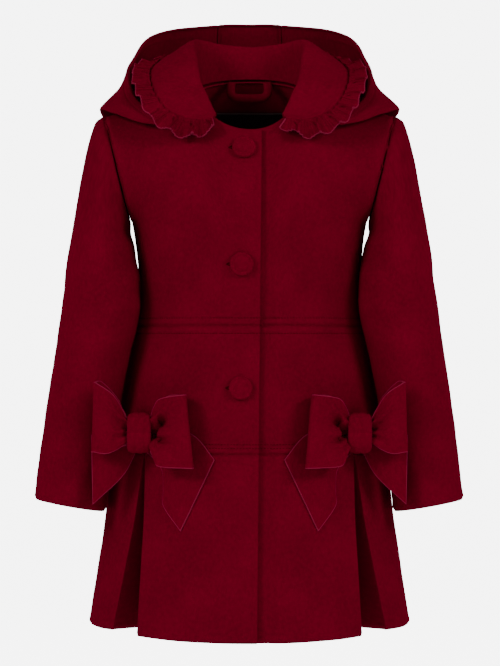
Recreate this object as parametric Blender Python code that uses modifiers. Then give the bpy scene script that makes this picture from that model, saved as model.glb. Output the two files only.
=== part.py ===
"""Girl's hooded wool coat with a dropped waist, filled out as it is when worn.

Metres, +Z up. The front faces -Y and the wearer's left is +X. The origin is in the middle of
the neck opening, at the height where the shoulders meet the neck.
"""

import math
from bisect import bisect_right
from collections import namedtuple

import bmesh
import bpy
from mathutils import Matrix, Vector

# Cloth
WALL = 0.0020
FRILL_WALL = 0.0014
LABEL_WALL = 0.0008
SEAM = 0.0003
MERGE = 1e-5
WOOL = (0.108, 0.0004, 0.0058, 1.0)
LABEL_CLOTH = (0.012, 0.0020, 0.0035, 1.0)
DULL = 0.95

# Neck, shoulders and armholes
NECK_HALF_WIDTH = 0.057
NECK_POINT_HEIGHT = 0.014
FRONT_NECK_DROP = 0.052
BACK_NECK_RISE = 0.012
NECK_CROWN = 0.050
SHOULDER_HALF_WIDTH = 0.1636
SHOULDER_HEIGHT = -0.0194
SHOULDER_ROUND = 0.060
ARMPIT_HALF_WIDTH = 0.1328
ARMPIT_HEIGHT = -0.1425
ARMHOLE_DEPTH = 0.055
NECK_ARC = 0.28
SLEEVE_SEAM = 0.0014
SLEEVE_STEPS = (0.0, 0.12, 0.5, 1.0, 1.5, 2.0, 3.0, 4.0, 5.0, 6.0, 7.0, 8.0, 9.0)

# Seam lines round the body, and the front edge
WAIST_SEAM = -0.2579
HIP_SEAM = -0.3995
HEM = -0.6030
CENTRE_RISE = 0.0040
SIDE_RISE = 0.0080
LAP_TOP = 0.0140
LAP_HEM = 0.0082
UNDER_LAP = 0.0160
LAP_SINK = 0.0032
SINK_FULL = 0.0160
SINK_END = 0.0340
SIDE_STRIP = 88.0
BODICE_RISES = (0.0, 0.15, 0.30, 0.44, 0.57, 0.68, 0.78, 0.87, 0.94, 0.98, 0.9996, 1.0)

# Ruffle, buttons and trim
FRILL_WAVES = 32
WAVE_STEPS = 5
WAVE_AT_SEAM = 0.0006
FRILL_SEAM = 0.0011
WAVE_AT_EDGE = 0.0040
BUTTON_RADIUS = 0.0133
BUTTON_HEIGHT = 0.0056
BUTTON_LIFT = 0.0007
LOOP_RADIUS = 0.0036
LABEL_HALF_WIDTH = 0.038
LABEL_TOP = -0.0095
LABEL_BOTTOM = -0.0300
LABEL_INSET = 0.0044
HANGING_LOOP = (
    (-0.0205, 0.0424, 0.0236),
    (-0.0215, 0.0415, 0.0120),
    (-0.0190, 0.0415, 0.0045),
    (-0.0120, 0.0415, 0.0015),
)
# A button's profile, as shares of its radius and height, and the places of the three.
BUTTON_PROFILE = (
    (0.0, 1.0),
    (0.465, 0.94),
    (0.805, 0.775),
    (0.93, 0.55),
    (1.0, 0.38),
    (0.9, 0.12),
    (0.55, 0.0),
    (0.0, 0.0),
)
BUTTONS = (
    ("button_top", -0.0060, -0.0600),
    ("button_middle", -0.0085, -0.1900),
    ("button_bottom", -0.0095, -0.3265),
)

# Bows
KNOT_X = 0.1215
KNOT_HEIGHT = -0.3755
KNOT_LENGTH = 0.0240
KNOT_TALL = 0.0420
KNOT_THICK = 0.0230
KNOT_LIFT = 0.0034
KNOT_ROUND = 0.0050
BED_TURN = 0.1000
BED_REACH = 0.0450
BOW_BED = 0.0890

Ring = namedtuple("Ring", "height half_width front back")
TORSO = (
    Ring(-0.6050, 0.1835, 0.150, 0.152),
    Ring(-0.5900, 0.1820, 0.149, 0.151),
    Ring(-0.5240, 0.1716, 0.139, 0.141),
    Ring(-0.4730, 0.1640, 0.130, 0.132),
    Ring(-0.4000, 0.1565, 0.118, 0.121),
    Ring(-0.3055, 0.1405, 0.105, 0.107),
    Ring(-0.2620, 0.1305, 0.098, 0.097),
    Ring(-0.2290, 0.1262, 0.096, 0.093),
    Ring(-0.1960, 0.1265, 0.098, 0.095),
    Ring(-0.1425, 0.1328, 0.101, 0.100),
    Ring(-0.0800, 0.1484, 0.089, 0.095),
    Ring(-0.0194, 0.1636, 0.060, 0.078),
    Ring(0.0300, 0.1636, 0.043, 0.050),
)

# Where the pleat's two edges lie, in degrees from the centre, and how far in its back is.
Pleat = namedtuple("Pleat", "height inner_edge outer_edge depth")
PLEATS = (
    Pleat(-0.6050, 42.2, 56.4, 0.046),
    Pleat(-0.5000, 44.8, 52.2, 0.026),
    Pleat(-0.3995, 47.4, 48.0, 0.007),
)
PLEAT_PLACES = (1.0, 1.1, 1.5, 1.9, 2.0, 2.15, 3.0)
FOLD_SHARE = 0.12

Section = namedtuple("Section", "step outer_x outer_z inner_x inner_z depth centre_y")
SLEEVE = (
    Section(0.0, SHOULDER_HALF_WIDTH, SHOULDER_HEIGHT, ARMPIT_HALF_WIDTH, ARMPIT_HEIGHT, ARMHOLE_DEPTH, 0.0),
    Section(0.3, 0.1672, -0.0212, 0.1342, -0.1440, 0.0555, 0.000),
    Section(1.0, 0.1755, -0.0300, 0.1342, -0.1480, 0.0560, -0.001),
    Section(2.0, 0.1870, -0.0780, 0.1330, -0.1570, 0.0555, -0.006),
    Section(3.0, 0.1960, -0.1300, 0.1305, -0.1700, 0.0540, -0.014),
    Section(4.0, 0.2045, -0.1880, 0.1255, -0.1980, 0.0510, -0.028),
    Section(5.0, 0.2108, -0.2380, 0.1225, -0.2400, 0.0480, -0.037),
    Section(6.0, 0.2175, -0.2880, 0.1335, -0.2920, 0.0450, -0.041),
    Section(7.0, 0.2250, -0.3380, 0.1430, -0.3450, 0.0430, -0.043),
    Section(8.0, 0.2318, -0.3900, 0.1525, -0.4020, 0.0405, -0.044),
    Section(9.0, 0.2392, -0.4520, 0.1602, -0.4660, 0.0375, -0.044),
)

# Collar and ruffle, from the centre back (0) to the front end (1).
Collar = namedtuple("Collar", "turn roll edge frill")
COLLAR = (
    Collar(0.00, (0.000, 0.060, 0.066), (0.000, 0.088, 0.042), (0.000, 0.103, 0.032)),
    Collar(0.20, (0.034, 0.055, 0.069), (0.046, 0.082, 0.045), (0.054, 0.096, 0.036)),
    Collar(0.38, (0.060, 0.034, 0.071), (0.084, 0.053, 0.059), (0.098, 0.062, 0.055)),
    Collar(0.52, (0.064, 0.002, 0.056), (0.109, 0.014, 0.041), (0.127, 0.010, 0.045)),
    Collar(0.64, (0.060, -0.032, 0.026), (0.112, -0.024, 0.025), (0.133, -0.030, 0.026)),
    Collar(0.76, (0.053, -0.048, 0.007), (0.105, -0.057, 0.002), (0.125, -0.065, 0.000)),
    Collar(0.86, (0.046, -0.056, -0.008), (0.090, -0.071, -0.018), (0.106, -0.081, -0.031)),
    Collar(0.94, (0.041, -0.061, -0.017), (0.066, -0.075, -0.028), (0.070, -0.086, -0.048)),
    Collar(1.00, (0.037, -0.064, -0.021), (0.041, -0.074, -0.027), (0.034, -0.084, -0.041)),
)

# Hood, from the centre back (0) towards the front end (1), under the collar.
Hood = namedtuple("Hood", "turn under fold bulge rim")
HOOD = (
    Hood(0.00, (0.000, 0.084, -0.015), (0.000, 0.122, -0.105), (0.000, 0.166, -0.030), (0.0000, 0.112, 0.0994)),
    Hood(0.15, (0.040, 0.079, -0.015), (0.042, 0.120, -0.104), (0.044, 0.163, -0.028), (0.0383, 0.111, 0.0985)),
    Hood(0.38, (0.090, 0.055, -0.004), (0.122, 0.100, -0.078), (0.138, 0.114, 0.000), (0.1130, 0.076, 0.0835)),
    Hood(0.56, (0.114, 0.022, 0.006), (0.170, 0.026, -0.014), (0.1480, 0.032, 0.016), (0.1370, 0.036, 0.0450)),
    Hood(0.70, (0.108, -0.011, -0.001), (0.152, -0.024, -0.018), (0.147, -0.027, -0.005), (0.1310, -0.012, 0.0060)),
    Hood(0.82, (0.085, -0.031, -0.005), (0.122, -0.051, -0.029), (0.119, -0.056, -0.022), (0.1100, -0.050, -0.0140)),
    Hood(0.90, (0.072, -0.0520, -0.022), (0.100, -0.060, -0.034), (0.098, -0.0655, -0.029), (0.0900, -0.0605, -0.0220)),
)
HOOD_END = 0.90
GUSSET_END = 0.15
HOOD_ROOT_OUT = 0.0042
HOOD_ROOT_LIFT = 0.0008
HOOD_FRONT_DROP = 0.0095
HOOD_DROP_START = 0.55
HOOD_DROP_LENGTH = 0.30
HOOD_PLACES = (0.0, 0.5, 1.0, 1.5, 1.8, 2.0, 2.2, 2.5, 3.0, 3.5, 4.0)
COLLAR_PLACES = (0.0, 0.5, 0.8, 1.0, 1.2, 1.5, 2.0)
SAMPLES = 400
TURN_STEP = 0.01
COLLAR_LIFT = 0.0016

# Bow cloth: how far out from the knot each edge of the band lies (away from the front edge
# is +), its height above the knot's middle, and how far the face stands over the cloth below.
Band = namedtuple("Band", "step upper_out upper lower_out lower over")
OUTER_LOOP = (
    Band(0.0, 0.0125, 0.0120, 0.0125, -0.0100, 0.0075),
    Band(1.0, 0.0260, 0.0400, 0.0280, -0.0170, 0.0078),
    Band(2.0, 0.0419, 0.0560, 0.0440, -0.0215, 0.0095),
    Band(3.0, 0.0500, 0.0555, 0.0520, -0.0215, 0.0170),
    Band(4.0, 0.0465, 0.0545, 0.0490, -0.0213, 0.0260),
    Band(5.0, 0.0270, 0.0410, 0.0330, -0.0226, 0.0285),
    Band(6.0, 0.0125, 0.0150, 0.0125, -0.0125, 0.0190),
)
INNER_LOOP = (
    Band(0.0, -0.0125, 0.0120, -0.0125, -0.0120, 0.0072),
    Band(1.0, -0.0300, 0.0380, -0.0320, -0.0340, 0.0078),
    Band(2.0, -0.0470, 0.0415, -0.0555, -0.0375, 0.0090),
    Band(3.0, -0.0525, 0.0418, -0.0615, -0.0379, 0.0180),
    Band(4.0, -0.0480, 0.0419, -0.0560, -0.0379, 0.0280),
    Band(5.0, -0.0221, 0.0366, -0.0240, -0.0365, 0.0330),
    Band(6.0, -0.0125, 0.0160, -0.0125, -0.0160, 0.0220),
)
OUTER_TAIL = (
    Band(0.0, 0.0010, 0.0000, 0.0010, -0.0160, 0.0026),
    Band(1.0, 0.0280, -0.0020, 0.0180, -0.0480, 0.0032),
    Band(2.0, 0.0535, -0.0030, 0.0518, -0.0803, 0.0040),
)
INNER_TAIL = (
    Band(0.0, -0.0010, 0.0000, -0.0010, -0.0160, 0.0026),
    Band(1.0, -0.0480, 0.0030, -0.0250, -0.0560, 0.0034),
    Band(2.0, -0.0831, -0.0292, -0.0459, -0.1076, 0.0028),
)


def read(rows, at, column):
    """Value of a column at a place along the first column, on a smooth curve through the rows."""
    keys = [row[0] for row in rows]
    last = len(rows) - 1
    here = max(0, min(last - 1, bisect_right(keys, at) - 1))

    def value(index):
        item = getattr(rows[index], column)
        return Vector(item) if isinstance(item, tuple) else item

    def slope(index):
        low, high = max(index - 1, 0), min(index + 1, last)
        return (value(high) - value(low)) / (keys[high] - keys[low])

    width = keys[here + 1] - keys[here]
    share = max(0.0, min(1.0, (at - keys[here]) / width))
    rest = 1 - share
    return (
        value(here) * (rest * rest * (1 + 2 * share))
        + slope(here) * (width * share * rest * rest)
        + value(here + 1) * (share * share * (3 - 2 * share))
        - slope(here + 1) * (width * share * share * rest)
    )


def both_sides(rows):
    """The rows with their mirror images before them, from the right end to the left one."""
    mirrored = [type(row)(-row.turn, *((-x, y, z) for x, y, z in row[1:])) for row in reversed(rows[1:])]
    return tuple(mirrored) + rows


COLLAR_ROUND = both_sides(COLLAR)
HOOD_ROUND = both_sides(HOOD)


def ease(share):
    share = max(0.0, min(1.0, share))
    return share * share * (3 - 2 * share)


def between(low, high, count):
    return [low + (high - low) * step / count for step in range(count + 1)]


def half_width(height):
    """Half the width of the body, which above the armpit ends at the armhole."""
    if height <= ARMPIT_HEIGHT:
        return read(TORSO, height, "half_width")
    rise = min(1.0, (height - ARMPIT_HEIGHT) / (SHOULDER_HEIGHT - ARMPIT_HEIGHT))
    return ARMPIT_HALF_WIDTH + rise * (SHOULDER_HALF_WIDTH - ARMPIT_HALF_WIDTH)


def armhole_depth(height):
    """How far before or behind the side the armhole's edge lies: half an ellipse."""
    middle = (SHOULDER_HEIGHT + ARMPIT_HEIGHT) / 2
    share = (height - middle) / (SHOULDER_HEIGHT - middle)
    return ARMHOLE_DEPTH * math.sqrt(max(0.0, 1 - share * share))


def neck_share(x):
    return math.sqrt(max(0.0, 1 - (x / NECK_HALF_WIDTH) ** 2))


def shoulder_line(x):
    fall = (abs(x) - NECK_HALF_WIDTH) / (SHOULDER_HALF_WIDTH - NECK_HALF_WIDTH)
    return NECK_POINT_HEIGHT + max(0.0, fall) * (SHOULDER_HEIGHT - NECK_POINT_HEIGHT)


def torso(angle, height, back=False):
    """Point on the coat's face, the angle in degrees from the centre line to the left side."""
    sine, cosine = math.sin(math.radians(angle)), math.cos(math.radians(angle))
    x = half_width(height) * sine
    crown = shoulder_line(x) + NECK_CROWN * neck_share(x)
    below = max(0.0, min(1.0, (crown - height) / SHOULDER_ROUND))
    depth = read(TORSO, height, "back" if back else "front") * math.sqrt(below * (2 - below))
    reach = math.hypot(depth * cosine, armhole_depth(height) * sine * sine) + SEAM / 2
    return Vector((x, reach if back else -reach, height))


def top_height(angle, back):
    """Height of the neckline or the shoulder seam over an angle."""
    x = SHOULDER_HALF_WIDTH * math.sin(math.radians(angle))
    change = BACK_NECK_RISE if back else -FRONT_NECK_DROP
    return shoulder_line(x) + change * neck_share(x)


def front_angle(place, height, lap):
    """A place below 0 crosses the centre line, as far as the lap at -1; others are degrees."""
    if place >= 0:
        return place
    return math.degrees(math.asin(lap * place / half_width(height)))


def front_lap(height):
    return LAP_HEM + (LAP_TOP - LAP_HEM) * (height - HEM) / -HEM


def front_point(place, height, under):
    """Point on a front; the left one dips where it passes under the right one."""
    lap = UNDER_LAP if under else front_lap(height)
    point = torso(front_angle(place, height, lap), height)
    if under:
        point.y += LAP_SINK * ease((SINK_END - point.x) / (SINK_END - SINK_FULL))
    return point


def rows_between(low, high, count):
    """Heights between two seams, each left by half a seam's gap."""
    return between(low + SEAM / 2, high - SEAM / 2, count)


def cloth(name, across, along, point, wall=WALL, mirrored=False, flipped=False, closed=False):
    """A sheet through point(a, b), with its wall behind the face."""
    sheet = bmesh.new()
    columns, rows = len(across) - 1, len(along) - 1
    bmesh.ops.create_grid(sheet, x_segments=columns, y_segments=rows, size=1)
    for vertex in sheet.verts:
        column = round((vertex.co.x + 1) / 2 * columns)
        row = round((vertex.co.y + 1) / 2 * rows)
        vertex.co = point(across[column], along[row])
        if mirrored:
            vertex.co.x *= -1
    if closed:
        bmesh.ops.remove_doubles(sheet, verts=sheet.verts, dist=1e-5)
    if mirrored != flipped:
        bmesh.ops.reverse_faces(sheet, faces=sheet.faces)
    made = add_object(name, sheet)
    solid = made.modifiers.new("Wall", "SOLIDIFY")
    solid.thickness = wall
    solid.offset = -1
    solid.use_quality_normals = True
    return made


def add_object(name, sheet):
    """Object of the coat's collection made from a bmesh, with a material of its own."""
    data = bpy.data.meshes.new(name)
    sheet.to_mesh(data)
    sheet.free()
    made = bpy.data.objects.new(name, data)
    coat.objects.link(made)
    made.data.materials.append(finish(name))
    made.data.shade_smooth()
    return made


def finish(name):
    material = bpy.data.materials.new(name + "_finish")
    material.use_nodes = True
    shader = material.node_tree.nodes["Principled BSDF"]
    shader.inputs["Base Color"].default_value = LABEL_CLOTH if name == "neck_label" else WOOL
    shader.inputs["Roughness"].default_value = DULL
    shader.inputs["Metallic"].default_value = 0.0
    return material


def front_angles(start):
    """Places across a front, close together at the lap, the neck point and the side seam."""
    neck = math.degrees(math.asin(NECK_HALF_WIDTH / SHOULDER_HALF_WIDTH))
    return between(start, 0, 2)[:-1] + between(0, neck, 4) + between(neck, SIDE_STRIP, 6)[1:] + [90.0]


def whole(half):
    """Places right across a panel, from those of its left half, which start at the middle."""
    return [-place for place in half[:0:-1]] + half


def mirrored_back(place, height):
    """Point on the back, left of the centre line for places over 0."""
    point = torso(abs(place), height, back=True)
    point.x = math.copysign(point.x, place)
    return point


def build_bodice():
    def height_at(place, rise, back):
        low = WAIST_SEAM + SEAM / 2
        return low + rise * (top_height(max(0.0, place), back) - low)

    for name, under in (("bodice_front_right", False), ("bodice_front_left", True)):
        cloth(
            name,
            front_angles(-1),
            BODICE_RISES,
            lambda place, rise: front_point(place, height_at(place, rise, False), under),
            mirrored=not under,
        )

    def back_point(place, rise):
        return mirrored_back(place, height_at(abs(place), rise, True))

    half = front_angles(-1)[2:]
    cloth("bodice_back", whole(half), BODICE_RISES, back_point, flipped=True)


def build_midriff():
    heights = rows_between(HIP_SEAM, WAIST_SEAM, 5)
    for name, under in (("midriff_front_right", False), ("midriff_front_left", True)):
        cloth(
            name,
            between(-1, 0, 2)[:-1] + between(0, SIDE_STRIP, 9) + [90.0],
            heights,
            lambda place, height: front_point(place, height, under),
            mirrored=not under,
        )

    half = between(0, SIDE_STRIP, 8) + [90.0]
    cloth("midriff_back", whole(half), heights, mirrored_back, flipped=True)


def pleat_point(start, edge, middle, place, height, back):
    """Point along a pleated panel: 0 to 1 on its face, to 2 down the fold, to 3 across its back."""
    deep = read(PLEATS, height, "depth")
    if place <= 1:
        return torso(start + place * (edge - start), height, back)
    turned = edge + (middle - edge) * (
        FOLD_SHARE if place <= 2 else FOLD_SHARE + (1 - FOLD_SHARE) * (place - 2)
    )
    angle = edge + (turned - edge) * (place - 1) if place <= 2 else turned
    face = torso(angle, height, back)
    inward = Vector((-face.x / half_width(height) ** 2, -face.y / read(TORSO, height, "front") ** 2, 0))
    return face + inward.normalized() * deep * min(1.0, place - 1)


def centre_panel_point(place, height, back):
    """Point on a panel that runs from the centre line to the middle of a pleat."""
    inner, outer = read(PLEATS, height, "inner_edge"), read(PLEATS, height, "outer_edge")
    middle = (inner + outer) / 2 - math.degrees(SEAM / 2 / half_width(height))
    return pleat_point(0.0, inner, middle, place, height, back)


def side_panel_point(place, height):
    """Point on the side panel, from the front pleat (-3) past the side (0) to the back pleat (3)."""
    inner, outer = read(PLEATS, height, "inner_edge"), read(PLEATS, height, "outer_edge")
    middle = (inner + outer) / 2 + math.degrees(SEAM / 2 / half_width(height))
    return pleat_point(90.0, outer, middle, abs(place), height, place > 0)


def hung(height, rise):
    """Height in the skirt, moved up as its hem is raised."""
    return height + rise * (HIP_SEAM - height) / (HIP_SEAM - HEM)


def centre_rise(place):
    """How far the hem of a front or back panel is raised: more towards the pleat."""
    return CENTRE_RISE * min(1.0, place) ** 2 + (SIDE_RISE - CENTRE_RISE) * max(0.0, place - 1) / 2


def build_skirt():
    heights = between(HEM, HIP_SEAM - SEAM, 7)
    fold = list(PLEAT_PLACES)

    def front(place, height, under):
        height = hung(height, centre_rise(max(0.0, place)))
        if place > 1:
            return centre_panel_point(place, height, False)
        degrees = place * read(PLEATS, height, "inner_edge") if place > 0 else place
        return front_point(degrees, height, under)

    for name, under in (("skirt_front_right", False), ("skirt_front_left", True)):
        cloth(
            name,
            between(-1, 0, 2)[:-1] + between(0, 1, 7)[:-1] + fold,
            heights,
            lambda place, height: front(place, height, under),
            mirrored=not under,
        )
    half = [0.0, 0.35, 0.7] + fold
    for name, mirrored in (("skirt_side_right", True), ("skirt_side_left", False)):
        cloth(
            name,
            whole(half),
            heights,
            lambda place, height: side_panel_point(place, hung(height, SIDE_RISE)),
            mirrored=mirrored,
        )

    def back(place, height):
        point = centre_panel_point(abs(place), hung(height, centre_rise(abs(place))), True)
        point.x = math.copysign(point.x, place)
        return point

    half = between(0, 1, 7)[:-1] + fold
    cloth("skirt_back", whole(half), heights, back, flipped=True)


def sleeve_point(turn, step):
    """Point on the left sleeve, the turn in degrees from the outside through the front."""
    outer_x, outer_z, inner_x, inner_z, depth, centre_y = (
        read(SLEEVE, step, column) for column in Section._fields[1:]
    )
    outer = math.cos(math.radians(turn))
    x = (outer_x + inner_x) / 2 + (outer_x - inner_x) / 2 * outer
    z = (outer_z + inner_z) / 2 + (outer_z - inner_z) / 2 * outer
    return Vector((x + SLEEVE_SEAM, centre_y - depth * math.sin(math.radians(turn)), z))


def build_sleeves():
    for name, mirrored in (("sleeve_right", True), ("sleeve_left", False)):
        cloth(name, between(0, 360, 18), SLEEVE_STEPS, sleeve_point, mirrored=mirrored, closed=True)


def neck_edge(turn):
    """Point on the neckline, from the centre back (0) to the collar's front end (1 or -1)."""
    share = abs(turn)
    back = share <= 0.5
    if back:
        x = NECK_HALF_WIDTH * math.sin(math.pi * share)
        height = NECK_POINT_HEIGHT + BACK_NECK_RISE * math.cos(math.pi * share)
    else:
        end = math.acos(COLLAR[-1].roll[0] / NECK_HALF_WIDTH)
        x = NECK_HALF_WIDTH * math.cos(end * (2 * share - 1))
        height = NECK_POINT_HEIGHT - FRONT_NECK_DROP * math.sin(end * (2 * share - 1))
    point = torso(math.degrees(math.asin(x / half_width(height))), height, back)
    point.x = math.copysign(point.x, turn)
    return point


def outward(point):
    return Vector((point.x, point.y, 0)).normalized()


def along_profile(points, place):
    """Point on a smooth curve through a profile's points, which lie at 0, 1, 2 and so on."""
    stop = namedtuple("Stop", "place at")
    return read([stop(index, tuple(point)) for index, point in enumerate(points)], place, "at")


def even_turns(rows, column, low, high, count):
    """Turns that part a row of points into equal lengths."""
    fine = between(low, high, SAMPLES)
    points = [read(rows, turn, column) for turn in fine]
    lengths = [0.0]
    for before, after in zip(points, points[1:]):
        lengths.append(lengths[-1] + (after - before).length)
    wanted = between(0, lengths[-1], count)
    return [fine[min(SAMPLES, bisect_right(lengths, length - MERGE))] for length in wanted[:-1]] + [high]


def collar_point(turn, place):
    """Point on the collar: its seam at 0, its roll at 1 and its outer edge at 2."""
    seam = neck_edge(turn) + Vector((0, 0, COLLAR_LIFT))
    roll, edge = read(COLLAR_ROUND, turn, "roll"), read(COLLAR_ROUND, turn, "edge")
    return along_profile((seam, roll, edge), place)


def build_collar():
    turns = even_turns(COLLAR_ROUND, "edge", -1, 1, 30)
    cloth("collar", turns, COLLAR_PLACES, collar_point)


def frill_point(column, place):
    """Point on the ruffle, from the collar's edge (0) to the free edge (1)."""
    turn, wave = column
    edge, free = read(COLLAR_ROUND, turn, "edge"), read(COLLAR_ROUND, turn, "frill")
    ahead, behind = min(1, turn + TURN_STEP), max(-1, turn - TURN_STEP)
    tangent = read(COLLAR_ROUND, ahead, "edge") - read(COLLAR_ROUND, behind, "edge")
    out = (free - edge).normalized()
    across = tangent.cross(out).normalized()
    swing = (WAVE_AT_SEAM + (WAVE_AT_EDGE - WAVE_AT_SEAM) * place) * math.sin(2 * math.pi * wave)
    start = edge + out * FRILL_SEAM
    return start + (free - start) * place + across * swing


def build_frill():
    count = FRILL_WAVES * WAVE_STEPS
    turns = even_turns(COLLAR_ROUND, "edge", -1, 1, count)
    columns = [(turn, index / WAVE_STEPS) for index, turn in enumerate(turns)]
    cloth("ruffle", columns, [0.0, 0.5, 1.0], frill_point, wall=FRILL_WALL)


def hood_point(turn, place):
    """Point on the hood: its root at 0, then under, fold, bulge and rim at 1 to 4."""
    neck = neck_edge(turn)
    drop = HOOD_FRONT_DROP * ease((abs(turn) - HOOD_DROP_START) / HOOD_DROP_LENGTH)
    root = neck + outward(neck) * HOOD_ROOT_OUT + Vector((0, 0, HOOD_ROOT_LIFT - drop))
    rest = [read(HOOD_ROUND, turn, column) for column in Hood._fields[1:]]
    return along_profile([root] + rest, place)


def build_hood():
    gap = SEAM / 2 / NECK_ARC
    middle = between(gap - GUSSET_END, GUSSET_END - gap, 6)
    cloth("hood_centre", middle, HOOD_PLACES, hood_point, flipped=True)
    side = even_turns(HOOD_ROUND, "bulge", GUSSET_END + gap, HOOD_END, 12)
    for name, mirrored in (("hood_side_right", True), ("hood_side_left", False)):
        cloth(name, side, HOOD_PLACES, hood_point, mirrored=mirrored, flipped=True)


def build_label():
    def point(x, height):
        face = mirrored_back(math.degrees(math.asin(x / half_width(height))), height)
        return face - Vector((0, LABEL_INSET, 0))

    width = between(-LABEL_HALF_WIDTH, LABEL_HALF_WIDTH, 6)
    cloth("neck_label", width, between(LABEL_BOTTOM, LABEL_TOP, 2), point, wall=LABEL_WALL)


def build_hanging_loop():
    """Rolled tube of cloth that hangs from the back neck seam."""
    points = list(HANGING_LOOP) + [(-x, y, z) for x, y, z in reversed(HANGING_LOOP)]
    curve = bpy.data.curves.new("hanging_loop", "CURVE")
    curve.dimensions = "3D"
    curve.bevel_depth = LOOP_RADIUS
    curve.bevel_resolution = 1
    curve.use_fill_caps = True
    spline = curve.splines.new("POLY")
    spline.points.add(len(points) - 1)
    for knot, place in zip(spline.points, points):
        knot.co = (*place, 1)
    loop = bpy.data.objects.new("hanging_loop", curve)
    coat.objects.link(loop)
    curve.materials.append(finish("hanging_loop"))


def turned(name, profile, steps):
    """A turned body about Z, from a profile that runs down its outer side."""
    sheet = bmesh.new()
    points = [sheet.verts.new((radius, 0, height)) for radius, height in profile]
    for before, after in zip(points, points[1:]):
        sheet.edges.new((before, after))
    made = add_object(name, sheet)
    screw = made.modifiers.new("Turn", "SCREW")
    screw.steps = steps
    screw.render_steps = steps
    screw.use_merge_vertices = True
    screw.merge_threshold = 0.0001
    return made


def build_buttons():
    """Covered buttons: a low dome over a rim that rolls under to a flat back."""
    profile = [(BUTTON_RADIUS * radius, BUTTON_HEIGHT * height) for radius, height in BUTTON_PROFILE]
    for name, x, height in BUTTONS:
        button = turned(name, profile, 20)
        face = torso(math.degrees(math.asin(x / half_width(height))), height)
        below = torso(0, height - BUTTON_RADIUS)
        above = torso(0, height + BUTTON_RADIUS)
        tilt = math.atan2(above.y - below.y, above.z - below.z)
        button.rotation_euler = (math.pi / 2 - tilt, 0, 0)
        button.location = face - Vector((0, BUTTON_LIFT, 0))


def bow_bed(x, height):
    """How far forward the cloth under a bow lies: on the front, then level past the side."""
    def front(at):
        return -torso(math.degrees(math.asin(at / half_width(height))), height).y

    if x <= BED_TURN:
        return front(x)
    share = ease((x - BED_TURN) / BED_REACH)
    return front(BED_TURN) * (1 - share) + BOW_BED * share


def band_point(rows, across, step):
    """Point on a bow's band, from its lower edge (0) to its upper edge (1)."""
    upper_out, upper, lower_out, lower, over = (read(rows, step, column) for column in Band._fields[1:])
    x = KNOT_X + lower_out + across * (upper_out - lower_out)
    height = KNOT_HEIGHT + lower + across * (upper - lower)
    return Vector((x, -bow_bed(x, height) - over, height))


def build_knot(name, side):
    """Short barrel of folded cloth over the middle of a bow, with rounded ends."""
    barrel = bmesh.new()
    bmesh.ops.create_cone(barrel, cap_ends=True, segments=18, radius1=1, radius2=1, depth=1)
    size = Matrix.Diagonal((KNOT_TALL / 2, KNOT_THICK / 2, KNOT_LENGTH, 1))
    bmesh.ops.transform(barrel, matrix=Matrix.Rotation(math.pi / 2, 4, "Y") @ size, verts=barrel.verts)
    knot = add_object(name, barrel)
    knot.location = (side * KNOT_X, -bow_bed(KNOT_X, KNOT_HEIGHT) - KNOT_LIFT - KNOT_THICK / 2, KNOT_HEIGHT)
    bevel = knot.modifiers.new("Rounded ends", "BEVEL")
    bevel.width = KNOT_ROUND
    bevel.segments = 2
    bevel.limit_method = "ANGLE"
    bevel.angle_limit = math.radians(60)


def build_bows():
    loops, tails = between(0, 6, 12), between(0, 2, 5)
    for side, mirrored in (("right", True), ("left", False)):
        for piece, rows, steps, flipped in (
            ("outer_loop", OUTER_LOOP, loops, False),
            ("inner_loop", INNER_LOOP, loops, True),
            ("outer_tail", OUTER_TAIL, tails, True),
            ("inner_tail", INNER_TAIL, tails, False),
        ):
            cloth(
                f"bow_{side}_{piece}",
                between(0, 1, 6 if rows in (OUTER_LOOP, INNER_LOOP) else 5),
                steps,
                lambda across, step: band_point(rows, across, step),
                mirrored=mirrored,
                flipped=flipped,
            )
        build_knot(f"bow_{side}_knot", -1 if mirrored else 1)


for thing in list(bpy.data.objects):
    bpy.data.objects.remove(thing, do_unlink=True)
coat = bpy.data.collections.new("girls_wool_coat")
bpy.context.scene.collection.children.link(coat)

build_bodice()
build_midriff()
build_skirt()
build_sleeves()
build_collar()
build_frill()
build_hood()
build_label()
build_hanging_loop()
build_buttons()
build_bows()
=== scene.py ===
import math
from bisect import bisect_right
from collections import namedtuple

import bmesh
import bpy
from mathutils import Matrix, Vector, noise


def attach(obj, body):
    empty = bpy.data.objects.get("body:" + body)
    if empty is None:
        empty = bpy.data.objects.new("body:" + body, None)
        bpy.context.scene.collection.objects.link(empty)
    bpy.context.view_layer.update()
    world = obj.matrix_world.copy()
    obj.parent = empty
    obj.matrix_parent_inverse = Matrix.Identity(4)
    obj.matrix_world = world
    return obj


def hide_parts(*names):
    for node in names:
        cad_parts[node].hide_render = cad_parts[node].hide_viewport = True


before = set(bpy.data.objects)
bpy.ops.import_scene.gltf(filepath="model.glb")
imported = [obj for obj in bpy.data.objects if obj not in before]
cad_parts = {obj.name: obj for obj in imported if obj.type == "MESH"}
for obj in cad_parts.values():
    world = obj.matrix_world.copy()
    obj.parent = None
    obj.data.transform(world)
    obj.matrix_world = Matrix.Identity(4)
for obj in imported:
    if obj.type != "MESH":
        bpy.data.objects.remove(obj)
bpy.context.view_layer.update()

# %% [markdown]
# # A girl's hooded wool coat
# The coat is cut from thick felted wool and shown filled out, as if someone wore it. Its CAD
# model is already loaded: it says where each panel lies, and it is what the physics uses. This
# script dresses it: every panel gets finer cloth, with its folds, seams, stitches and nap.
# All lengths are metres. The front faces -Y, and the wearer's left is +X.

# %% [markdown]
# ## Camera
# The photograph was taken from straight in front with a long lens, about three metres away at
# the height of the coat's waist. The frame is taller than it is wide, so the sensor's size
# counts along the height.

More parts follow.
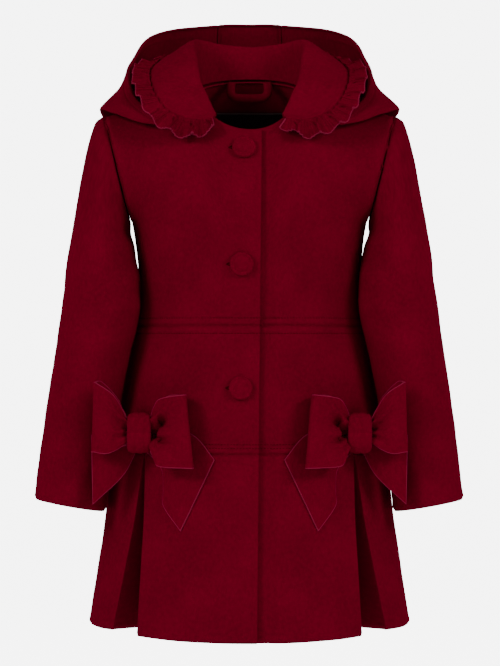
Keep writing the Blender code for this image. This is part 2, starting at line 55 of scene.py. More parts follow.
# %% Camera
CAMERA_DISTANCE = 3.0
FRAME_HEIGHT = 0.759
SENSOR = 36.0
camera = bpy.data.objects.new("camera", bpy.data.cameras.new("camera"))
bpy.context.scene.collection.objects.link(camera)
camera.data.sensor_width = SENSOR
camera.data.lens = SENSOR * CAMERA_DISTANCE / FRAME_HEIGHT
camera.location = (0.0006, -CAMERA_DISTANCE, -0.266)
camera.rotation_euler = (math.pi / 2, 0, 0)
bpy.context.scene.camera = camera
print("lens", round(camera.data.lens, 1), "mm")

# %% [markdown]
# ## Studio
# A shop photograph has soft light from all round and a white surround. A pale floor that
# curves up into a wall gives both. It is spun from one profile, so the studio looks the same
# from every side, and it is wide enough for the camera to walk round the coat inside it.

# %% Studio
FLOOR = -0.97
bpy.ops.object.select_all(action="DESELECT")
bpy.ops.mesh.primitive_circle_add(vertices=96, radius=7.0, fill_type="NGON", location=(0, 0, FLOOR))
studio = bpy.context.object
studio.name = "studio_floor"
bpy.ops.object.mode_set(mode="EDIT")
bpy.ops.mesh.select_all(action="SELECT")
for out, up in ((1.05, 0.15), (1.05, 0.5), (1.02, 1.0), (1.0, 5.0)):
    bpy.ops.mesh.extrude_region_move(TRANSFORM_OT_translate={"value": (0, 0, up)})
    bpy.ops.transform.resize(value=(out, out, 1))
bpy.ops.mesh.delete(type="ONLY_FACE")
bpy.ops.object.mode_set(mode="OBJECT")


# %% [markdown]
# The light comes from two large soft panels before the coat and one over it. Both sides get
# nearly the same, as in the photograph, where the two halves are lit alike.

# %% Lights
def soft_light(name, at, aim, size, power, colour=(1.0, 0.98, 0.96)):
    """A square panel that shines at a point."""
    lamp = bpy.data.lights.new(name, "AREA")
    lamp.size = size
    lamp.energy = power
    lamp.color = colour
    panel = bpy.data.objects.new(name, lamp)
    bpy.context.scene.collection.objects.link(panel)
    panel.location = at
    panel.rotation_euler = (Vector(aim) - Vector(at)).to_track_quat("-Z", "Y").to_euler()
    return panel


soft_light("left_panel", (-2.1, -1.75, 1.0), (0, 0, 0.02), 0.9, 52)
soft_light("right_panel", (2.15, -1.7, 0.95), (0, 0, 0.02), 0.9, 48)
soft_light("top_panel", (0.0, -0.4, 2.6), (0, 0, -0.2), 1.8, 12)
soft_light("back_panel", (0.3, 3.0, 1.0), (0, 0, -0.25), 1.8, 20)
world = bpy.data.worlds.new("surround")
world.use_nodes = True
world.node_tree.nodes["Background"].inputs["Color"].default_value = (1.0, 1.0, 1.0, 1.0)
world.node_tree.nodes["Background"].inputs["Strength"].default_value = 0.14
bpy.context.scene.world = world

# %% [markdown]
# ## Wool
# Felted wool has no visible weave. What shows is its nap: short fibres that lie every way in
# small clumps, a slow change of tone where the cloth was pressed, and paler fibres where it is
# cut, with a painted highlight along those cut edges. Two groups hold these effects, so each
# piece of cloth can use them with its own values.
# The first is the nap. It reads the piece's own UV map, which is in metres, so the fibres
# follow the cloth round every fold.


# %% Helpers for node groups
def new_group(name, inputs, outputs):
    """A shader group with its sockets, each given as (name, kind, value)."""
    group = bpy.data.node_groups.new(name, "ShaderNodeTree")
    for label, kind, value in inputs:
        socket = group.interface.new_socket(label, in_out="INPUT", socket_type="NodeSocket" + kind)
        socket.default_value = value
    for label, kind in outputs:
        group.interface.new_socket(label, in_out="OUTPUT", socket_type="NodeSocket" + kind)
    return group, group.nodes.new("NodeGroupInput"), group.nodes.new("NodeGroupOutput")


def add_node(tree, kind, values=(), **settings):
    """A node with its settings, and values given for its inputs by number or name."""
    node = tree.nodes.new("ShaderNode" + kind)
    for name, value in settings.items():
        setattr(node, name, value)
    for key, value in values:
        node.inputs[key].default_value = value
    return node


def wire(tree, *pairs):
    for source, target in pairs:
        tree.links.new(source, target)


# %% Nap of the wool
nap, nap_in, nap_out = new_group(
    "wool_nap",
    [("Coordinates", "Vector", (0, 0, 0)), ("Fibres per metre", "Float", 900.0), ("Clumps", "Float", 0.5)],
    [("Tone", "Float"), ("Height", "Float")],
)
turned = add_node(nap, "Mapping", [("Rotation", (0, 0, 0.9)), ("Scale", (1.0, 0.28, 1.0))])
fibres = add_node(nap, "TexNoise", [("Detail", 4.0), ("Roughness", 0.7)])
crossed = add_node(nap, "Mapping", [("Rotation", (0, 0, -0.6)), ("Scale", (1.0, 0.3, 1.0))])
fibres_across = add_node(nap, "TexNoise", [("Detail", 4.0), ("Roughness", 0.7)])
clumps = add_node(nap, "TexNoise", [("Scale", 240.0), ("Detail", 3.0), ("Distortion", 0.6)])
pressed = add_node(nap, "TexNoise", [("Scale", 16.0), ("Detail", 2.0)])
both = add_node(nap, "Math", operation="MAXIMUM")
clumped = add_node(nap, "Mix", data_type="FLOAT")
toned = add_node(nap, "Mix", [(0, 0.35)], data_type="FLOAT")
wire(
    nap,
    (nap_in.outputs[0], turned.inputs[0]),
    (nap_in.outputs[0], crossed.inputs[0]),
    (nap_in.outputs[0], clumps.inputs[0]),
    (nap_in.outputs[0], pressed.inputs[0]),
    (turned.outputs[0], fibres.inputs[0]),
    (crossed.outputs[0], fibres_across.inputs[0]),
    (nap_in.outputs[1], fibres.inputs["Scale"]),
    (nap_in.outputs[1], fibres_across.inputs["Scale"]),
    (fibres.outputs[0], both.inputs[0]),
    (fibres_across.outputs[0], both.inputs[1]),
    (nap_in.outputs[2], clumped.inputs[0]),
    (both.outputs[0], clumped.inputs[2]),
    (clumps.outputs[0], clumped.inputs[3]),
    (clumped.outputs[0], toned.inputs[2]),
    (pressed.outputs[0], toned.inputs[3]),
    (toned.outputs[0], nap_out.inputs[0]),
    (clumped.outputs[0], nap_out.inputs[1]),
)
print("nap group with", len(nap.nodes), "nodes")

# %% [markdown]
# The second group is the cut edge. Each piece carries an attribute with the distance of every
# point from its nearest raw or folded edge, in metres. The group turns the last millimetre into
# a paler line, which is what draws the ruffle and the bows in the photograph.

# %% Cut edge
# The paler line at a cut edge is partly paler fibres and partly a painted highlight.
rim, rim_in, rim_out = new_group(
    "cut_edge_fibres_and_highlight",
    [("Distance", "Float", 1.0), ("Width", "Float", 0.0012)],
    [("Mask", "Float")],
)
share = add_node(rim, "Math", operation="DIVIDE")
falloff = add_node(rim, "MapRange", [("From Min", 1.25), ("From Max", 0.55)], interpolation_type="SMOOTHSTEP")
wire(
    rim,
    (rim_in.outputs[0], share.inputs[0]),
    (rim_in.outputs[1], share.inputs[1]),
    (share.outputs[0], falloff.inputs[0]),
    (falloff.outputs[0], rim_out.inputs[0]),
)
print("edge group with", len(rim.nodes), "nodes")

# %% [markdown]
# Each material is a plain Principled shader with these groups before it. The sheen is set on
# the shader itself: wool has a soft veil of light fibres that shows where the surface turns
# away. The small bumps come from the nap's height.


# %% Wool materials
def wool(name, colour, pale, sheen=0.02, bump=0.00022, fibres=900.0, clumps=0.5, edge=0.0012, rough=0.92):
    """Felted cloth of a colour, with paler fibres and a painted highlight at its cut edges."""
    material = bpy.data.materials.new(name)
    material.use_nodes = True
    tree = material.node_tree
    shader = tree.nodes["Principled BSDF"]
    shader.inputs["Roughness"].default_value = rough
    shader.inputs["Sheen Weight"].default_value = sheen
    shader.inputs["Sheen Roughness"].default_value = 0.45
    shader.inputs["Sheen Tint"].default_value = (1.0, 0.06, 0.14, 1.0)
    shader.inputs["Specular IOR Level"].default_value = 0.0
    uv = add_node(tree, "UVMap", uv_map="Cloth")
    napped = add_node(tree, "Group", node_tree=nap)
    napped.inputs["Fibres per metre"].default_value = fibres
    napped.inputs["Clumps"].default_value = clumps
    shade = add_node(tree, "ValToRGB")
    shade.color_ramp.elements[0].position = 0.28
    shade.color_ramp.elements[0].color = (*(c * 0.62 for c in colour), 1)
    shade.color_ramp.elements[1].position = 0.78
    shade.color_ramp.elements[1].color = (*(c * 1.45 for c in colour), 1)
    distance = add_node(tree, "Attribute", attribute_name="edge_distance")
    cut = add_node(tree, "Group", node_tree=rim)
    cut.inputs["Width"].default_value = edge
    # Mixes in the paler cut fibres and the painted edge highlight.
    bright = add_node(tree, "Mix", [(7, (*pale, 1))], data_type="RGBA")
    relief = add_node(tree, "Bump", [("Strength", 0.9), ("Distance", bump)])
    wire(
        tree,
        (uv.outputs[0], napped.inputs[0]),
        (napped.outputs["Tone"], shade.inputs[0]),
        (distance.outputs["Fac"], cut.inputs["Distance"]),
        (cut.outputs[0], bright.inputs[0]),
        (shade.outputs[0], bright.inputs[6]),
        (bright.outputs[2], shader.inputs["Base Color"]),
        (napped.outputs["Height"], relief.inputs["Height"]),
        (relief.outputs[0], shader.inputs["Normal"]),
    )
    return material


CRIMSON = (0.108, 0.0004, 0.0090)
# Paler cut fibres together with a painted highlight along the cut edges.
PALE_FIBRE_AND_HIGHLIGHT_CRIMSON = (0.170, 0.0090, 0.0310)
coat_wool = wool("felted_wool", CRIMSON, PALE_FIBRE_AND_HIGHLIGHT_CRIMSON)
trim_wool = wool("felted_wool_trim", CRIMSON, PALE_FIBRE_AND_HIGHLIGHT_CRIMSON, bump=0.00018, edge=0.0010)
button_wool = wool("button_wool", CRIMSON, PALE_FIBRE_AND_HIGHLIGHT_CRIMSON, fibres=1300.0, bump=0.00014)
print("materials", [coat_wool.name, trim_wool.name, button_wool.name])

# %% [markdown]
# The floor's paint is nearly white and lit from inside, so the surround stays as even as paper
# in a studio. It shines less on the coat than it looks, or the folds would lose their shadows.

# %% Studio paint
paint = bpy.data.materials.new("studio_paint")
paint.use_nodes = True
paint_shader = paint.node_tree.nodes["Principled BSDF"]
paint_shader.inputs["Base Color"].default_value = (0.86, 0.86, 0.86, 1)
paint_shader.inputs["Roughness"].default_value = 0.9
paint_shader.inputs["Emission Color"].default_value = (1, 1, 1, 1)
rays = add_node(paint.node_tree, "LightPath")
lit = add_node(paint.node_tree, "MapRange", [("To Min", 0.2), ("To Max", 6.0)])
wire(
    paint.node_tree,
    (rays.outputs["Is Camera Ray"], lit.inputs[0]),
    (lit.outputs[0], paint_shader.inputs["Emission Strength"]),
)
studio.data.materials.append(paint)
studio.data.shade_smooth()
print("floor at", FLOOR)

# %% [markdown]
# ## Reading a smooth curve through measured rows
# A pattern cutter measures a garment at a few levels and draws smooth lines between them. The
# tables below hold such levels, and this reader gives the value anywhere between them.


# %% Curve reader
def read(rows, at, column):
    """Value of a column at a place along the first column, on a smooth curve through the rows."""
    keys = [row[0] for row in rows]
    last = len(rows) - 1
    here = max(0, min(last - 1, bisect_right(keys, at) - 1))

    def value(index):
        item = getattr(rows[index], column)
        return Vector(item) if isinstance(item, tuple) else item

    def slope(index):
        low, high = max(index - 1, 0), min(index + 1, last)
        return (value(high) - value(low)) / (keys[high] - keys[low])

    width = keys[here + 1] - keys[here]
    share = max(0.0, min(1.0, (at - keys[here]) / width))
    rest = 1 - share
    return (
        value(here) * (rest * rest * (1 + 2 * share))
        + slope(here) * (width * share * rest * rest)
        + value(here + 1) * (share * share * (3 - 2 * share))
        - slope(here + 1) * (width * share * share * rest)
    )


def both_sides(rows):
    """The rows with their mirror images before them, from the right end to the left one."""
    mirrored = [type(row)(-row.turn, *((-x, y, z) for x, y, z in row[1:])) for row in reversed(rows[1:])]
    return tuple(mirrored) + rows


def ease(share):
    share = max(0.0, min(1.0, share))
    return share * share * (3 - 2 * share)


def between(low, high, count):
    return [low + (high - low) * step / count for step in range(count + 1)]


def lines(low, high, length, step=0.003, fine_low=False, fine_high=False):
    """Places from low to high for the grid lines of a cloth, closer together at a sewn end."""
    near = (0.0, 0.0005, 0.0011, 0.0018, 0.0027, 0.0038, 0.0052, 0.0068, 0.0080, 0.0088, 0.0096, 0.0106, 0.0125)
    start = [at for at in near] if fine_low else [0.0]
    end = [length - at for at in reversed(near)] if fine_high else [length]
    count = max(1, round((end[0] - start[-1]) / step))
    middle = [start[-1] + (end[0] - start[-1]) * index / count for index in range(1, count)]
    return [low + (high - low) * at / length for at in start + middle + end]


print("fine places near a sewn end:", len(lines(0, 1, 0.1, fine_low=True)) - len(lines(0, 1, 0.1)))

# %% [markdown]
# ## What a seam does to cloth
# Thick wool can't lie flat at a seam. It rolls into the seam line, swells a little beside it,
# and a row of topstitching presses it down again. The height of the cloth there depends only
# on the distance from the seam, so one small function serves every seam.

# %% Seams, folds and drape
ROLL_DEPTH, ROLL_WIDTH = 0.0019, 0.0016
SWELL = 0.0004
STITCH_DEPTH, STITCH_WIDTH = 0.0007, 0.0009


def seam_height(distance, stitched):
    """How high the cloth stands at a distance from a seam, topstitched at the given distances."""
    height = -ROLL_DEPTH * math.exp(-((distance / ROLL_WIDTH) ** 2))
    if distance < 0.012:
        height += SWELL * math.exp(-(((distance - 0.0048) / 0.003) ** 2))
    for row in stitched:
        height -= STITCH_DEPTH * math.exp(-(((distance - row) / STITCH_WIDTH) ** 2))
    return height


def fold_height(point, folds):
    """Height of soft folds, each given by its two ends, its width and its depth."""
    height = 0.0
    for start, end, width, depth in folds:
        along = end - start
        share = max(0.0, min(1.0, (point - start).dot(along) / along.length_squared))
        away = (point - start - along * share).length / width
        if away < 3:
            taper = 1 - abs(2 * share - 1) ** 3
            profile = 0.6 * math.exp(-((away - 1.5) ** 2)) - math.exp(-away * away)
            height += depth * (0.35 + 0.65 * taper) * profile
    return height


def drape(point):
    """The slow unevenness that no pressed cloth is without."""
    return 0.0009 * noise.noise(point * 13) + 0.00030 * noise.noise(point * 47 + Vector((3, 1, 7)))


print("height at a seam", seam_height(0, ()), "and beside it", round(seam_height(0.005, ()), 5))

# %% [markdown]
# ## Cutting a piece of cloth
# Every panel is made the same way: a grid is bent through a function that says where each
# point of the cloth lies, the seams and folds are pressed into it, and it gets its thickness.
# The UV map holds the real distances along the cloth, so the nap has its true size. How large
# each piece was cut is also measured on the grid and kept in a table.

# %% Cloth
WALL = 0.0020
FRILL_WALL = 0.0014
LABEL_WALL = 0.0008
SEAM = 0.0
FAR = 0.05
cut_sizes = {}


def steps_along(points):
    """Distance of each point from the first one, along the line through them."""
    total = [0.0]
    for before, after in zip(points, points[1:]):
        total.append(total[-1] + (after - before).length)
    return total


def finish_piece(made, material, nodes, wall):
    """Gives a sheet its thickness, shading, material and its place in the frame."""
    bpy.ops.object.select_all(action="DESELECT")
    bpy.context.view_layer.objects.active = made
    made.select_set(True)
    if wall:
        solid = made.modifiers.new("Thickness", "SOLIDIFY")
        solid.thickness = wall
        solid.offset = -1
        solid.use_quality_normals = True
        bpy.ops.object.modifier_apply(modifier=solid.name)
    bpy.ops.object.shade_smooth_by_angle(angle=math.radians(55))
    made.data.materials.append(material)
    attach(made, "root")
    if nodes:
        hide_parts(*nodes)


def cloth(name, node, across, along, point, **how):
    """A panel of cloth through point(a, b). how may hold relief, seams, cut, wall, material,
    mirrored, flipped and closed; held, rests_on and slot are not used."""
    mirrored, relief = how.get("mirrored", False), how.get("relief")
    seams, cut = how.get("seams", {}), how.get("cut", "")
    columns, rows = len(across) - 1, len(along) - 1
    side = -1 if mirrored else 1
    spots = [[point(a, b) for b in along] for a in across]
    for column in spots:
        for spot in column:
            spot.x *= side
    level = [steps_along(column) for column in spots]
    wide = [steps_along([spots[c][r] for c in range(columns + 1)]) for r in range(rows + 1)]

    def distance(edge, c, r):
        return {
            "left": wide[r][c],
            "right": wide[r][-1] - wide[r][c],
            "low": level[c][r],
            "high": level[c][-1] - level[c][r],
        }[edge]

    sheet = bmesh.new()
    bmesh.ops.create_grid(sheet, x_segments=columns, y_segments=rows, size=1)
    uv = sheet.loops.layers.uv.new("Cloth")
    edge = sheet.verts.layers.float.new("edge_distance")
    at = {}
    for vertex in sheet.verts:
        c = round((vertex.co.x + 1) / 2 * columns)
        r = round((vertex.co.y + 1) / 2 * rows)
        at[vertex] = (c, r)
        vertex.co = spots[c][r]
        vertex[edge] = min([FAR] + [distance(which, c, r) for which in cut.split()])
    for face in sheet.faces:
        for corner in face.loops:
            c, r = at[corner.vert]
            corner[uv].uv = (wide[rows // 2][c], level[columns // 2][r])
    if mirrored != how.get("flipped", False):
        bmesh.ops.reverse_faces(sheet, faces=sheet.faces)
    sheet.normal_update()
    lifts = {}
    for vertex in sheet.verts:
        c, r = at[vertex]
        lift = relief(vertex.co, across[c], along[r]) if relief else 0.0
        for which, stitched in seams.items():
            away = distance(which, c, r)
            if away < 0.03:
                lift += seam_height(away, stitched)
        lifts[vertex] = vertex.co + vertex.normal * lift
    if how.get("closed"):
        for vertex in sheet.verts:
            c, r = at[vertex]
            if c == columns:
                lifts[vertex] = None
        first = {at[vertex][1]: lifts[vertex] for vertex in sheet.verts if at[vertex][0] == 0}
        for vertex in sheet.verts:
            if lifts[vertex] is None:
                lifts[vertex] = first[at[vertex][1]]
    for vertex, lifted in lifts.items():
        vertex.co = lifted
    if how.get("closed"):
        bmesh.ops.remove_doubles(sheet, verts=sheet.verts, dist=1e-6)
    area = sum(face.calc_area() for face in sheet.faces)
    data = bpy.data.meshes.new(name)
    sheet.to_mesh(data)
    sheet.free()
    made = bpy.data.objects.new(name, data)
    bpy.context.scene.collection.objects.link(made)
    finish_piece(made, how.get("material", coat_wool), [node], how.get("wall", WALL))
    flat = (max(row[-1] for row in wide), max(column[-1] for column in level))
    while area > flat[0] * flat[1]:
        flat = (flat[0] * 1.01, flat[1] * 1.01)
    cut_sizes[name] = (round(flat[0], 3), round(flat[1], 3), round(area, 4))
    return made


# %% [markdown]
# ## The body's shape
# The coat's body is a tapered tube: narrow at the chest, wide at the hem. The table gives its
# half width and its depth before and behind at each level. Near the shoulder the front and
# back curve in to meet at the shoulder seam, and the sides stop at the armhole.

# %% Body levels
NECK_HALF_WIDTH = 0.057
NECK_POINT_HEIGHT = 0.014
FRONT_NECK_DROP = 0.052
BACK_NECK_RISE = 0.012
NECK_CROWN = 0.050
SHOULDER_HALF_WIDTH = 0.1636
SHOULDER_HEIGHT = -0.0194
SHOULDER_ROUND = 0.060
ARMPIT_HALF_WIDTH = 0.1328
ARMPIT_HEIGHT = -0.1425
ARMHOLE_DEPTH = 0.055
WAIST_SEAM = -0.2579
HIP_SEAM = -0.3995
HEM = -0.6030
CENTRE_RISE = 0.0040
SIDE_RISE = 0.0080
Ring = namedtuple("Ring", "height half_width front back")
TORSO = (
    Ring(-0.6050, 0.1835, 0.150, 0.152),
    Ring(-0.5900, 0.1820, 0.149, 0.151),
    Ring(-0.5240, 0.1716, 0.139, 0.141),
    Ring(-0.4730, 0.1640, 0.130, 0.132),
    Ring(-0.4000, 0.1565, 0.118, 0.121),
    Ring(-0.3055, 0.1405, 0.105, 0.107),
    Ring(-0.2620, 0.1305, 0.098, 0.097),
    Ring(-0.2290, 0.1262, 0.096, 0.093),
    Ring(-0.1960, 0.1265, 0.098, 0.095),
    Ring(-0.1425, 0.1328, 0.101, 0.100),
    Ring(-0.0800, 0.1484, 0.089, 0.095),
    Ring(-0.0194, 0.1636, 0.060, 0.078),
    Ring(0.0300, 0.1636, 0.043, 0.050),
)


# %% Body shape
def half_width(height):
    """Half the width of the body, which above the armpit ends at the armhole."""
    if height <= ARMPIT_HEIGHT:
        return read(TORSO, height, "half_width")
    rise = min(1.0, (height - ARMPIT_HEIGHT) / (SHOULDER_HEIGHT - ARMPIT_HEIGHT))
    return ARMPIT_HALF_WIDTH + rise * (SHOULDER_HALF_WIDTH - ARMPIT_HALF_WIDTH)


def armhole_depth(height):
    """How far before or behind the side the armhole's edge lies: half an ellipse."""
    middle = (SHOULDER_HEIGHT + ARMPIT_HEIGHT) / 2
    share = (height - middle) / (SHOULDER_HEIGHT - middle)
    return ARMHOLE_DEPTH * math.sqrt(max(0.0, 1 - share * share))


def neck_share(x):
    return math.sqrt(max(0.0, 1 - (x / NECK_HALF_WIDTH) ** 2))


def shoulder_line(x):
    fall = (abs(x) - NECK_HALF_WIDTH) / (SHOULDER_HALF_WIDTH - NECK_HALF_WIDTH)
    return NECK_POINT_HEIGHT + max(0.0, fall) * (SHOULDER_HEIGHT - NECK_POINT_HEIGHT)


def torso(angle, height, back=False):
    """Point on the coat's face, the angle in degrees from the centre line to the left side."""
    sine, cosine = math.sin(math.radians(angle)), math.cos(math.radians(angle))
    x = half_width(height) * sine
    crown = shoulder_line(x) + NECK_CROWN * neck_share(x)
    below = max(0.0, min(1.0, (crown - height) / SHOULDER_ROUND))
    depth = read(TORSO, height, "back" if back else "front") * math.sqrt(below * (2 - below))
    reach = math.hypot(depth * cosine, armhole_depth(height) * sine * sine) + SEAM / 2
    return Vector((x, reach if back else -reach, height))


def top_height(angle, back):
    """Height of the neckline or the shoulder seam over an angle."""
    x = SHOULDER_HALF_WIDTH * math.sin(math.radians(angle))
    change = BACK_NECK_RISE if back else -FRONT_NECK_DROP
    return shoulder_line(x) + change * neck_share(x)


def mirrored_back(place, height):
    """Point on the back, left of the centre line for places over 0."""
    point = torso(abs(place), height, back=True)
    point.x = math.copysign(point.x, place)
    return point


def whole(half):
    """Places right across a panel, from those of its left half, which start at the middle."""
    return [-place for place in half[:0:-1]] + half


print("half width at the hem", round(half_width(HEM), 3))
print("half width at the armpit", round(half_width(ARMPIT_HEIGHT), 3))

# %% [markdown]
# The right front laps over the left one, as on girls' coats. Its edge runs straight down,
# slightly nearer the middle at the hem. The left front dips where it passes under.

# %% Front lap
LAP_TOP = 0.0140
LAP_HEM = 0.0082
UNDER_LAP = 0.0160
LAP_SINK = 0.0050
SINK_FULL = 0.0160
SINK_END = 0.0340


def front_angle(place, height, lap):
    """A place below 0 crosses the centre line, as far as the lap at -1; others are degrees."""
    if place >= 0:
        return place
    return math.degrees(math.asin(lap * place / half_width(height)))


def front_lap(height):
    return LAP_HEM + (LAP_TOP - LAP_HEM) * (height - HEM) / -HEM


def front_point(place, height, under):
    """Point on a front; the left one dips where it passes under the right one."""
    lap = UNDER_LAP if under else front_lap(height)
    point = torso(front_angle(place, height, lap), height)
    if under:
        point.y += LAP_SINK * ease((SINK_END - point.x) / (SINK_END - SINK_FULL))
    return point


# %% [markdown]
# Even a filled-out coat has a few soft folds: they run from the armpits towards the chest,
# from the bust to the waist seam, and down the skirt from the hip seam, where the cloth flares.
# They are listed by their ends as seen from the front, and the two sides differ a little.

# %% Folds of the body
def on_front(x, z, back=False):
    point = torso(math.degrees(math.asin(min(1.0, abs(x) / half_width(z)))), z, back)
    point.x = math.copysign(point.x, x)
    return point


def fold(x0, z0, x1, z1, width, depth, back=False):
    return (on_front(x0, z0, back), on_front(x1, z1, back), width, depth)


BODY_FOLDS = [
    fold(-0.128, -0.136, -0.088, -0.100, 0.011, 0.0016),
    fold(0.127, -0.139, 0.090, -0.108, 0.012, 0.0014),
    fold(-0.121, -0.150, -0.098, -0.205, 0.013, 0.0013),
    fold(0.119, -0.154, 0.100, -0.212, 0.012, 0.0015),
    fold(-0.064, -0.205, -0.056, -0.252, 0.016, 0.0008),
    fold(0.071, -0.195, 0.060, -0.250, 0.015, 0.0009),
    fold(-0.085, -0.262, -0.098, -0.330, 0.018, 0.0010),
    fold(0.090, -0.264, 0.097, -0.322, 0.017, 0.0009),
    fold(-0.060, -0.130, -0.085, -0.180, 0.012, 0.0014, True),
    fold(0.066, -0.125, 0.088, -0.186, 0.013, 0.0013, True),
    fold(-0.030, -0.200, 0.020, -0.230, 0.015, 0.0010, True),
    fold(-0.110, -0.290, -0.085, -0.375, 0.018, 0.0012, True),
    fold(0.106, -0.280, 0.090, -0.370, 0.018, 0.0013, True),
]
FLUTES = (
    (-62, 9, 0.0030),
    (-24, 8, 0.0026),
    (-9, 6, 0.0010),
    (17, 7, 0.0022),
    (31, 6, 0.0024),
    (66, 9, 0.0028),
)


def body_relief(point, *_):
    """Folds and drape of the body, left smooth down the front where the buttons lie."""
    calm = ease((abs(point.x) - 0.018) / 0.02) if point.y < 0 else 1.0
    return (fold_height(point, BODY_FOLDS) + drape(point)) * calm


def skirt_relief(point, *_):
    """The skirt also hangs in soft flutes that grow towards the hem."""
    angle = math.degrees(math.atan2(point.x, abs(point.y) * 1.25))
    fall = ease((HIP_SEAM - 0.01 - point.z) / 0.17)
    shift = 0 if point.y < 0 else 5
    flutes = sum(lift * math.exp(-(((angle - centre + shift) / width) ** 2)) for centre, width, lift in FLUTES)
    return body_relief(point) + flutes * fall


print(len(BODY_FOLDS), "folds and", len(FLUTES), "flutes")

# %% [markdown]
# ## Bodice
# Two fronts and a back run from the waist seam to the neckline and the shoulders. Their top
# edges need close grid lines, because the cloth turns quickly into the shoulder seam there.


# %% Bodice
def rise_places():
    near_end = [0.93, 0.95, 0.965, 0.977, 0.986, 0.993, 0.998, 0.9996, 1.0]
    return lines(0, 0.93, 0.22, 0.0035, fine_low=True)[:-1] + near_end


def bodice_height(place, rise, back):
    low = WAIST_SEAM + SEAM / 2
    return low + rise * (top_height(max(0.0, place), back) - low)


FRONT_PLACES = lines(-1, 0, 0.014, 0.0018)[:-1] + lines(0, 90, 0.20, 0.0028, fine_high=True)
BACK_HALF = lines(0, 90, 0.20, 0.0028, fine_high=True)
BODY_SEAMS = {"low": (0.0085,), "high": (), "right": ()}
for name, under in (("bodice_front_right", False), ("bodice_front_left", True)):
    cloth(
        name + "_cloth",
        name,
        FRONT_PLACES,
        rise_places(),
        lambda place, rise: front_point(place, bodice_height(place, rise, False), under),
        mirrored=not under,
        relief=body_relief,
        seams=BODY_SEAMS,
    )
cloth(
    "bodice_back_cloth",
    "bodice_back",
    whole(BACK_HALF),
    rise_places(),
    lambda place, rise: mirrored_back(place, bodice_height(abs(place), rise, True)),
    flipped=True,
    relief=body_relief,
    seams={**BODY_SEAMS, "left": ()},
)
print("bodice cut", {name: size for name, size in cut_sizes.items()})

# %% [markdown]
# ## Midriff
# Below the waist seam a plain band reaches down to the hip seam, where the skirt is pleated
# on. Both seams are topstitched.

# %% Midriff
MIDRIFF_HEIGHTS = [
    HIP_SEAM + SEAM / 2 + (WAIST_SEAM - HIP_SEAM - SEAM) * share
    for share in lines(0, 1, 0.141, 0.0035, fine_low=True, fine_high=True)
]
MIDRIFF_SEAMS = {"low": (0.0068, 0.0110), "high": (0.0085,), "right": ()}
for name, under in (("midriff_front_right", False), ("midriff_front_left", True)):
    cloth(
        name + "_cloth",
        name,
        FRONT_PLACES,
        MIDRIFF_HEIGHTS,
        lambda place, height: front_point(place, height, under),
        mirrored=not under,
        relief=body_relief,
        seams=MIDRIFF_SEAMS,
    )
cloth(
    "midriff_back_cloth",
    "midriff_back",
    whole(BACK_HALF),
    MIDRIFF_HEIGHTS,
    mirrored_back,
    flipped=True,
    relief=body_relief,
    seams={**MIDRIFF_SEAMS, "left": ()},
)
print("midriff cut", cut_sizes["midriff_back_cloth"])

# %% [markdown]
# ## Skirt
# Five panels hang from the hip seam. Between the front and the side a pleat folds inward: the
# panel's face ends in a fold, runs into the pleat and meets the next panel at the back of it.
# The pleat is nearly closed at the seam and wide open at the hem.

# %% Pleats
Pleat = namedtuple("Pleat", "height inner_edge outer_edge depth")
PLEATS = (
    Pleat(-0.6050, 42.2, 56.4, 0.046),
    Pleat(-0.5000, 44.8, 52.2, 0.026),
    Pleat(-0.3995, 47.4, 48.0, 0.007),
)
FOLD_SHARE = 0.12


def pleat_point(start, edge, middle, place, height, back):
    """Point along a pleated panel: 0 to 1 on its face, to 2 down the fold, to 3 across its back."""
    deep = read(PLEATS, height, "depth")
    if place <= 1:
        return torso(start + place * (edge - start), height, back)
    turned = edge + (middle - edge) * (
        FOLD_SHARE if place <= 2 else FOLD_SHARE + (1 - FOLD_SHARE) * (place - 2)
    )
    angle = edge + (turned - edge) * (place - 1) if place <= 2 else turned
    face = torso(angle, height, back)
    inward = Vector((-face.x / half_width(height) ** 2, -face.y / read(TORSO, height, "front") ** 2, 0))
    return face + inward.normalized() * deep * min(1.0, place - 1)


def centre_panel_point(place, height, back):
    """Point on a panel that runs from the centre line to the middle of a pleat."""
    inner, outer = read(PLEATS, height, "inner_edge"), read(PLEATS, height, "outer_edge")
    middle = (inner + outer) / 2 - math.degrees(SEAM / 2 / half_width(height))
    return pleat_point(0.0, inner, middle, place, height, back)


def side_panel_point(place, height):
    """Point on the side panel, from the front pleat (-3) past the side (0) to the back pleat (3)."""
    inner, outer = read(PLEATS, height, "inner_edge"), read(PLEATS, height, "outer_edge")
    middle = (inner + outer) / 2 + math.degrees(SEAM / 2 / half_width(height))
    return pleat_point(90.0, outer, middle, abs(place), height, place > 0)


# %% Skirt
SKIRT_SHARES = lines(0, 1, 0.203, 0.0035, fine_low=True, fine_high=True)
SKIRT_HEIGHTS = [HEM + (HIP_SEAM - SEAM - HEM) * share for share in SKIRT_SHARES]
PLEAT_EDGE = [1.0, 1.02, 1.05, 1.1, 1.18] + between(1.3, 2.0, 8)
PLEAT_BACK = [2.04, 2.08, 2.15, 2.25] + between(2.4, 3.0, 4)
INTO_PLEAT = PLEAT_EDGE + PLEAT_BACK
SKIRT_SEAMS = {"high": (), "low": ()}


def hung(height, rise):
    """Height in the skirt, moved up as its hem is raised."""
    return height + rise * (HIP_SEAM - height) / (HIP_SEAM - HEM)


def centre_rise(place):
    """How far the hem of a front or back panel is raised: more towards the pleat."""
    return CENTRE_RISE * min(1.0, place) ** 2 + (SIDE_RISE - CENTRE_RISE) * max(0.0, place - 1) / 2


def skirt_front(place, height, under):
    height = hung(height, centre_rise(max(0.0, place)))
    if place > 1:
        return centre_panel_point(place, height, False)
    degrees = place * read(PLEATS, height, "inner_edge") if place > 0 else place
    return front_point(degrees, height, under)


def panel_relief(point, place, height):
    """The pleat's inside hangs straight: the folds fade past its edge."""
    return skirt_relief(point) * (1 - ease((abs(place) - 0.85) / 0.2))


